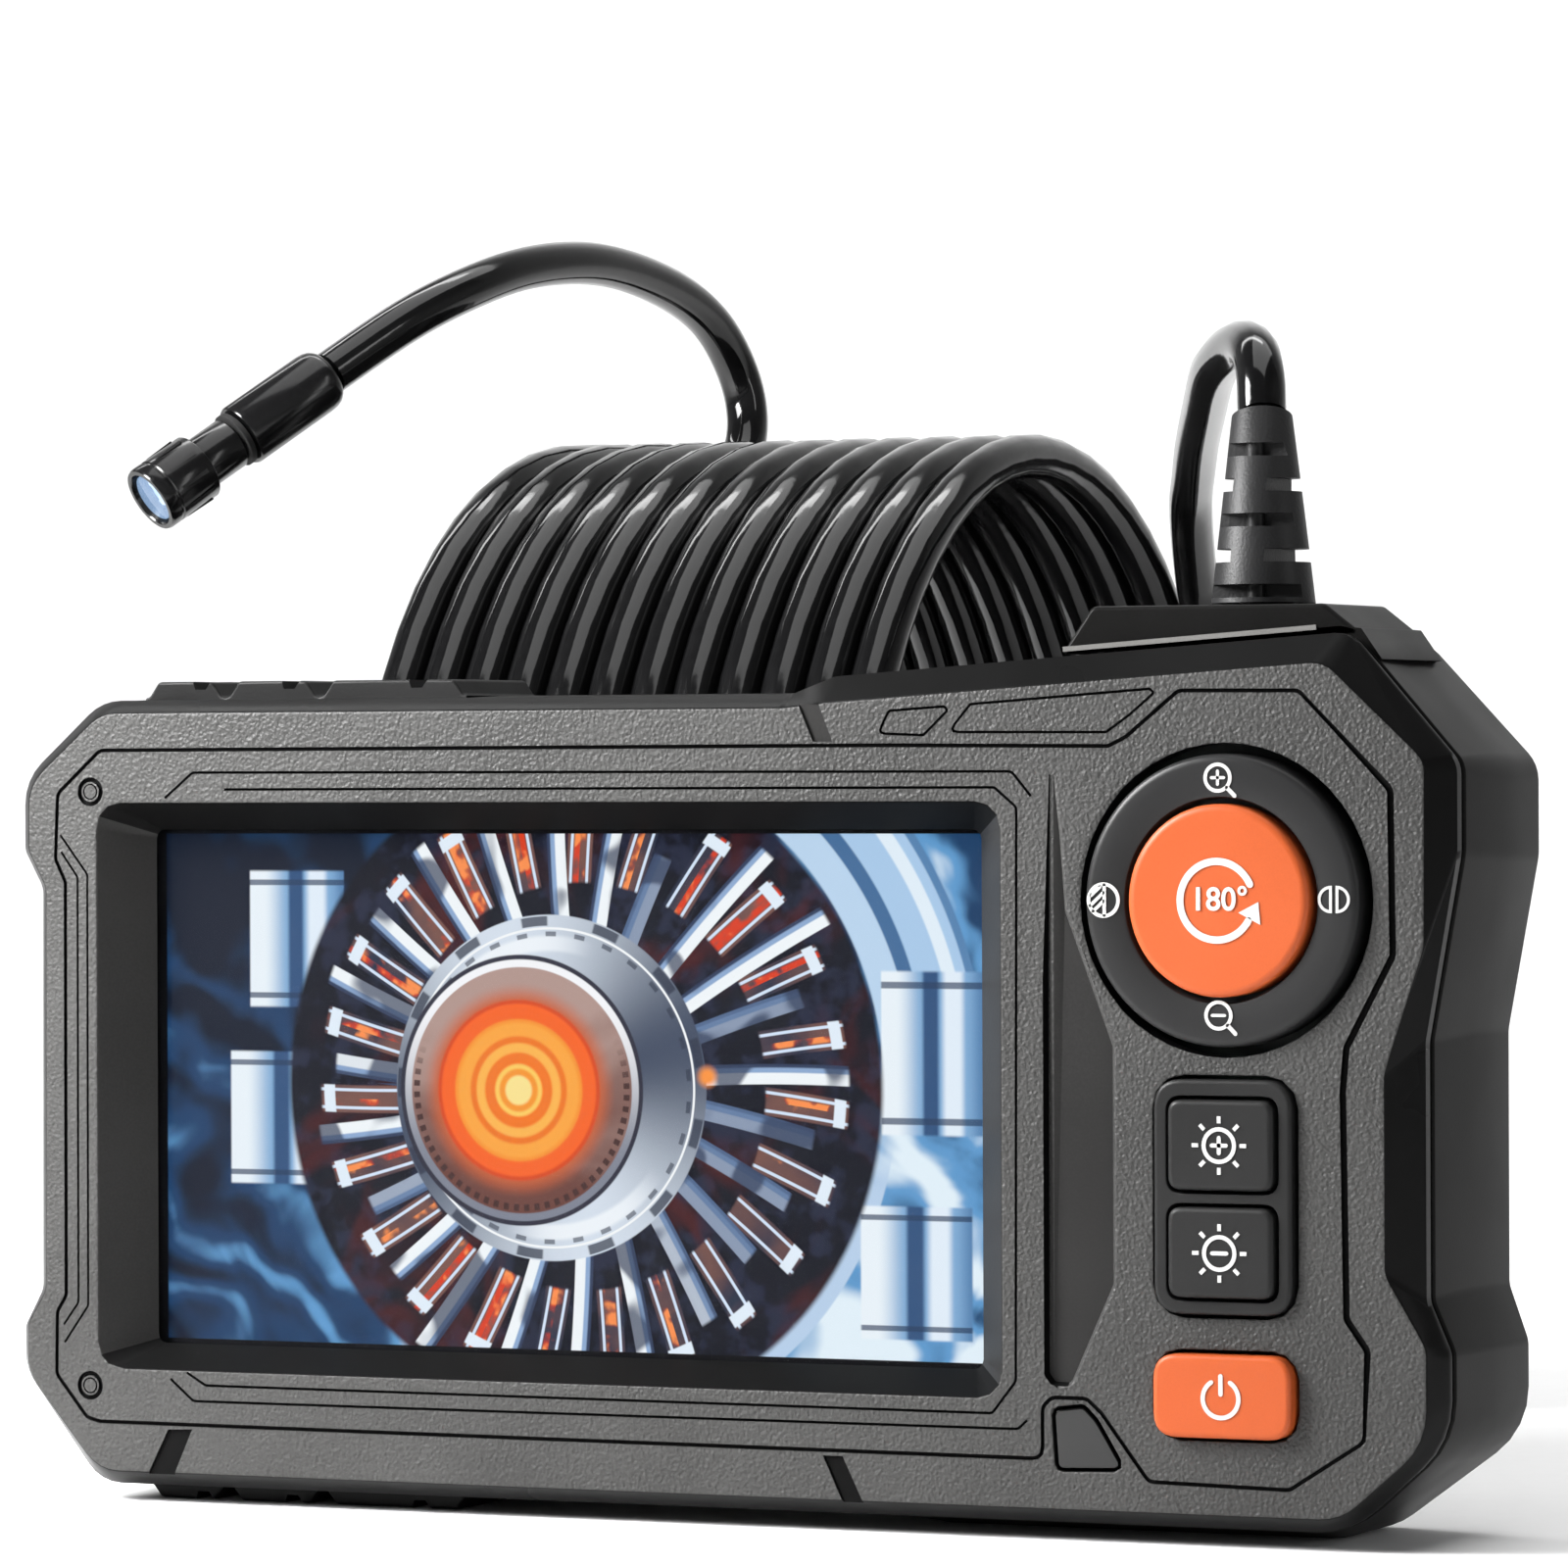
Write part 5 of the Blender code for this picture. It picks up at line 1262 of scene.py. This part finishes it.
def makePad():
    u, v = pad["u"], pad["v"]
    outwards = Vector((0, -1, 0))
    rise = -min(d for r, d in pad["ring"])
    bm = bmesh.new()
    lathe(bm, [(r, -d) for r, d in pad["ring"]], place(u, v, 0), outwards, pad["sides"], loop=True)
    ring = solid("ringPad", bm, "padPlastic")
    lines = magnifier(signs["plusSpot"], True) + magnifier(signs["minusSpot"], False) + dialAndMoons()
    settle(merge(ring, signOf("padSigns", rise, lines)), "ring_pad", "pad_plastic", "ring_pad")

    back = stemEnd("centre_button")
    rise = -min(d for r, d in pad["button"])
    profile = [(pad["neck"][0][0], -back)] + pad["neck"] + [(r, -d) for r, d in pad["button"]]
    bm = bmesh.new()
    lathe(bm, profile, place(u, v, 0), outwards, 112)
    button = even(solid("centreButton", bm, "keyOrange"))
    radius, start, end = signs["turn"]
    sign = signOf("turnSign", rise, [(arc(u, v, radius, start, end, 56), signs["turnWide"], False)],
                  [turnArrow()])
    right, up = signs["figureSpot"]
    thick = signs["proud"] + signs["sink"]
    figures = fromMesh("figures", textMesh(signs["figures"], signs["figureHigh"], u + right, v + up,
                                           -rise - signs["proud"] / 2, thick))
    paint(figures, "iconWhite")
    settle(merge(button, sign, figures), "centre_button", "key_orange", "centre_button")


def sun(u, v, rise, plus):
    thin = signs["thin"] * 1.15
    lines = [(arc(u, v, signs["sun"]), thin, True), *crossOf(u, v, signs["sunStroke"], thin, plus)]
    ray = chip(*signs["ray"], signs["proud"] + signs["sink"], "iconWhite", 0.02)
    rays = repeat(ringOfCopies, "rays", ray, "iconWhite", Count=signs["rays"], Radius=mm(signs["rayRadius"]),
                  Place=place(u, v, signs["sink"] - rise), Turn=(math.pi / 2, 0, 0))
    return merge(signOf("sunSign", rise, lines), rays)


def makeKey(node, name, v, wide, high, rise, corner, slot, finish, sign):
    bm = bmesh.new()
    cap(bm, boxCorners(panel["u"], v, wide, high, corner), rise, panel["keySink"])
    stem = roundCorners(boxCorners(panel["u"], v, panel["stem"], panel["stem"], 0.3), 3)
    plate(bm, [stem, stem], [panel["keySink"] - 0.02, stemEnd(node)])
    settle(merge(even(solid(name, bm, finish)), sign), node, slot, node)


def makeKeys():
    u, rise = panel["u"], panel["keyRise"]
    size = (panel["keyWide"], panel["keyHigh"], rise, panel["keyCorner"])
    for node, name, v, plus in (("bright_up_key", "brightUpKey", panel["keyUp"], True),
                                ("bright_down_key", "brightDownKey", panel["keyDown"], False)):
        makeKey(node, name, v, *size, "key_rubber", "keyRubber", sun(u, v, rise, plus))
    v, rise = panel["powerV"], panel["powerRise"]
    radius, start, end = signs["power"]
    low, high = signs["powerBar"]
    bar = signs["powerWide"]
    sign = signOf("powerSign", rise, [(arc(u, v + signs["powerSpot"], radius, start, end, 40), bar, False),
                                      ([(u, v + low), (u, v + high)], bar, False)])
    makeKey("power_button", "powerButton", v, panel["powerWide"], panel["powerHigh"], rise,
            panel["powerCorner"], "key_orange", "keyOrange", sign)


def makeSurround():
    u, rise, gap = panel["u"], panel["surroundRise"], panel["holeGap"]
    wide, high = panel["keyWide"] + 2 * gap, panel["keyHigh"] + 2 * gap
    bm = bmesh.new()
    cap(bm, boxCorners(u, panel["surroundV"], panel["surroundWide"], panel["surroundHigh"],
                       panel["surroundCorner"]), rise, panel["surroundSink"], 0.5)
    surround = fromBmesh("keySurround", bm)
    bm = bmesh.new()
    for v in (panel["keyUp"], panel["keyDown"]):
        hole = roundCorners(boxCorners(u, v, wide, high, panel["keyCorner"] + 0.2), 5)
        plate(bm, [hole, hole], panel["holeReach"])
    cut(surround, fromBmesh("cutter", bm))
    bevelWhere(surround, panel["holeEdge"],
               lambda across, up, d: d < front["skin"] - rise and abs(across - u) < panel["holeBox"])
    paint(surround, "keyRubber")
    settle(even(surround), "handset", "key_rubber", "key_surround")


makePad()
makeKeys()
makeSurround()
window = bevel(cadCopy("indicator_window", "indicatorWindow"), 0.18, 2, 40)
paint(window, "smokedPlastic")
settle(even(window), "handset", "smoked_plastic", "indicator_window")
print("controls")

# ---- what the CAD model's own parts are made of
keptFinishes = {
    "display_window": "windowGlass", "lcd_panel": "engineOnDisplay", "lcd_frame": "platedSteel",
    # the boards' near-black mask also stands for the shade seen through the gap round the ring pad
    "main_board": "boardMaskAndGapShade", "key_board": "boardMaskAndGapShade", "main_processor": "chipBlack",
    "usb_socket": "platedSteel",
    "card_slot": "platedSteel", "battery_tray": "trayPlastic", "battery": "batteryWrap",
    "pad_rocker": "trayPlastic",
    "gland_nut": "turnedBrass", "shell_gasket": "sealRubber", "case_screw": "screwSteel",
    "switch": "chipBlack",
}
for name, node in nodes.items():
    found = [finish for start, finish in keptFinishes.items() if name.startswith(start)]
    if found and not node.hide_render:
        node.data.materials.clear()
        node.data.materials.append(finishes[found[0]])
    elif not node.hide_render:
        print("no finish for", name)
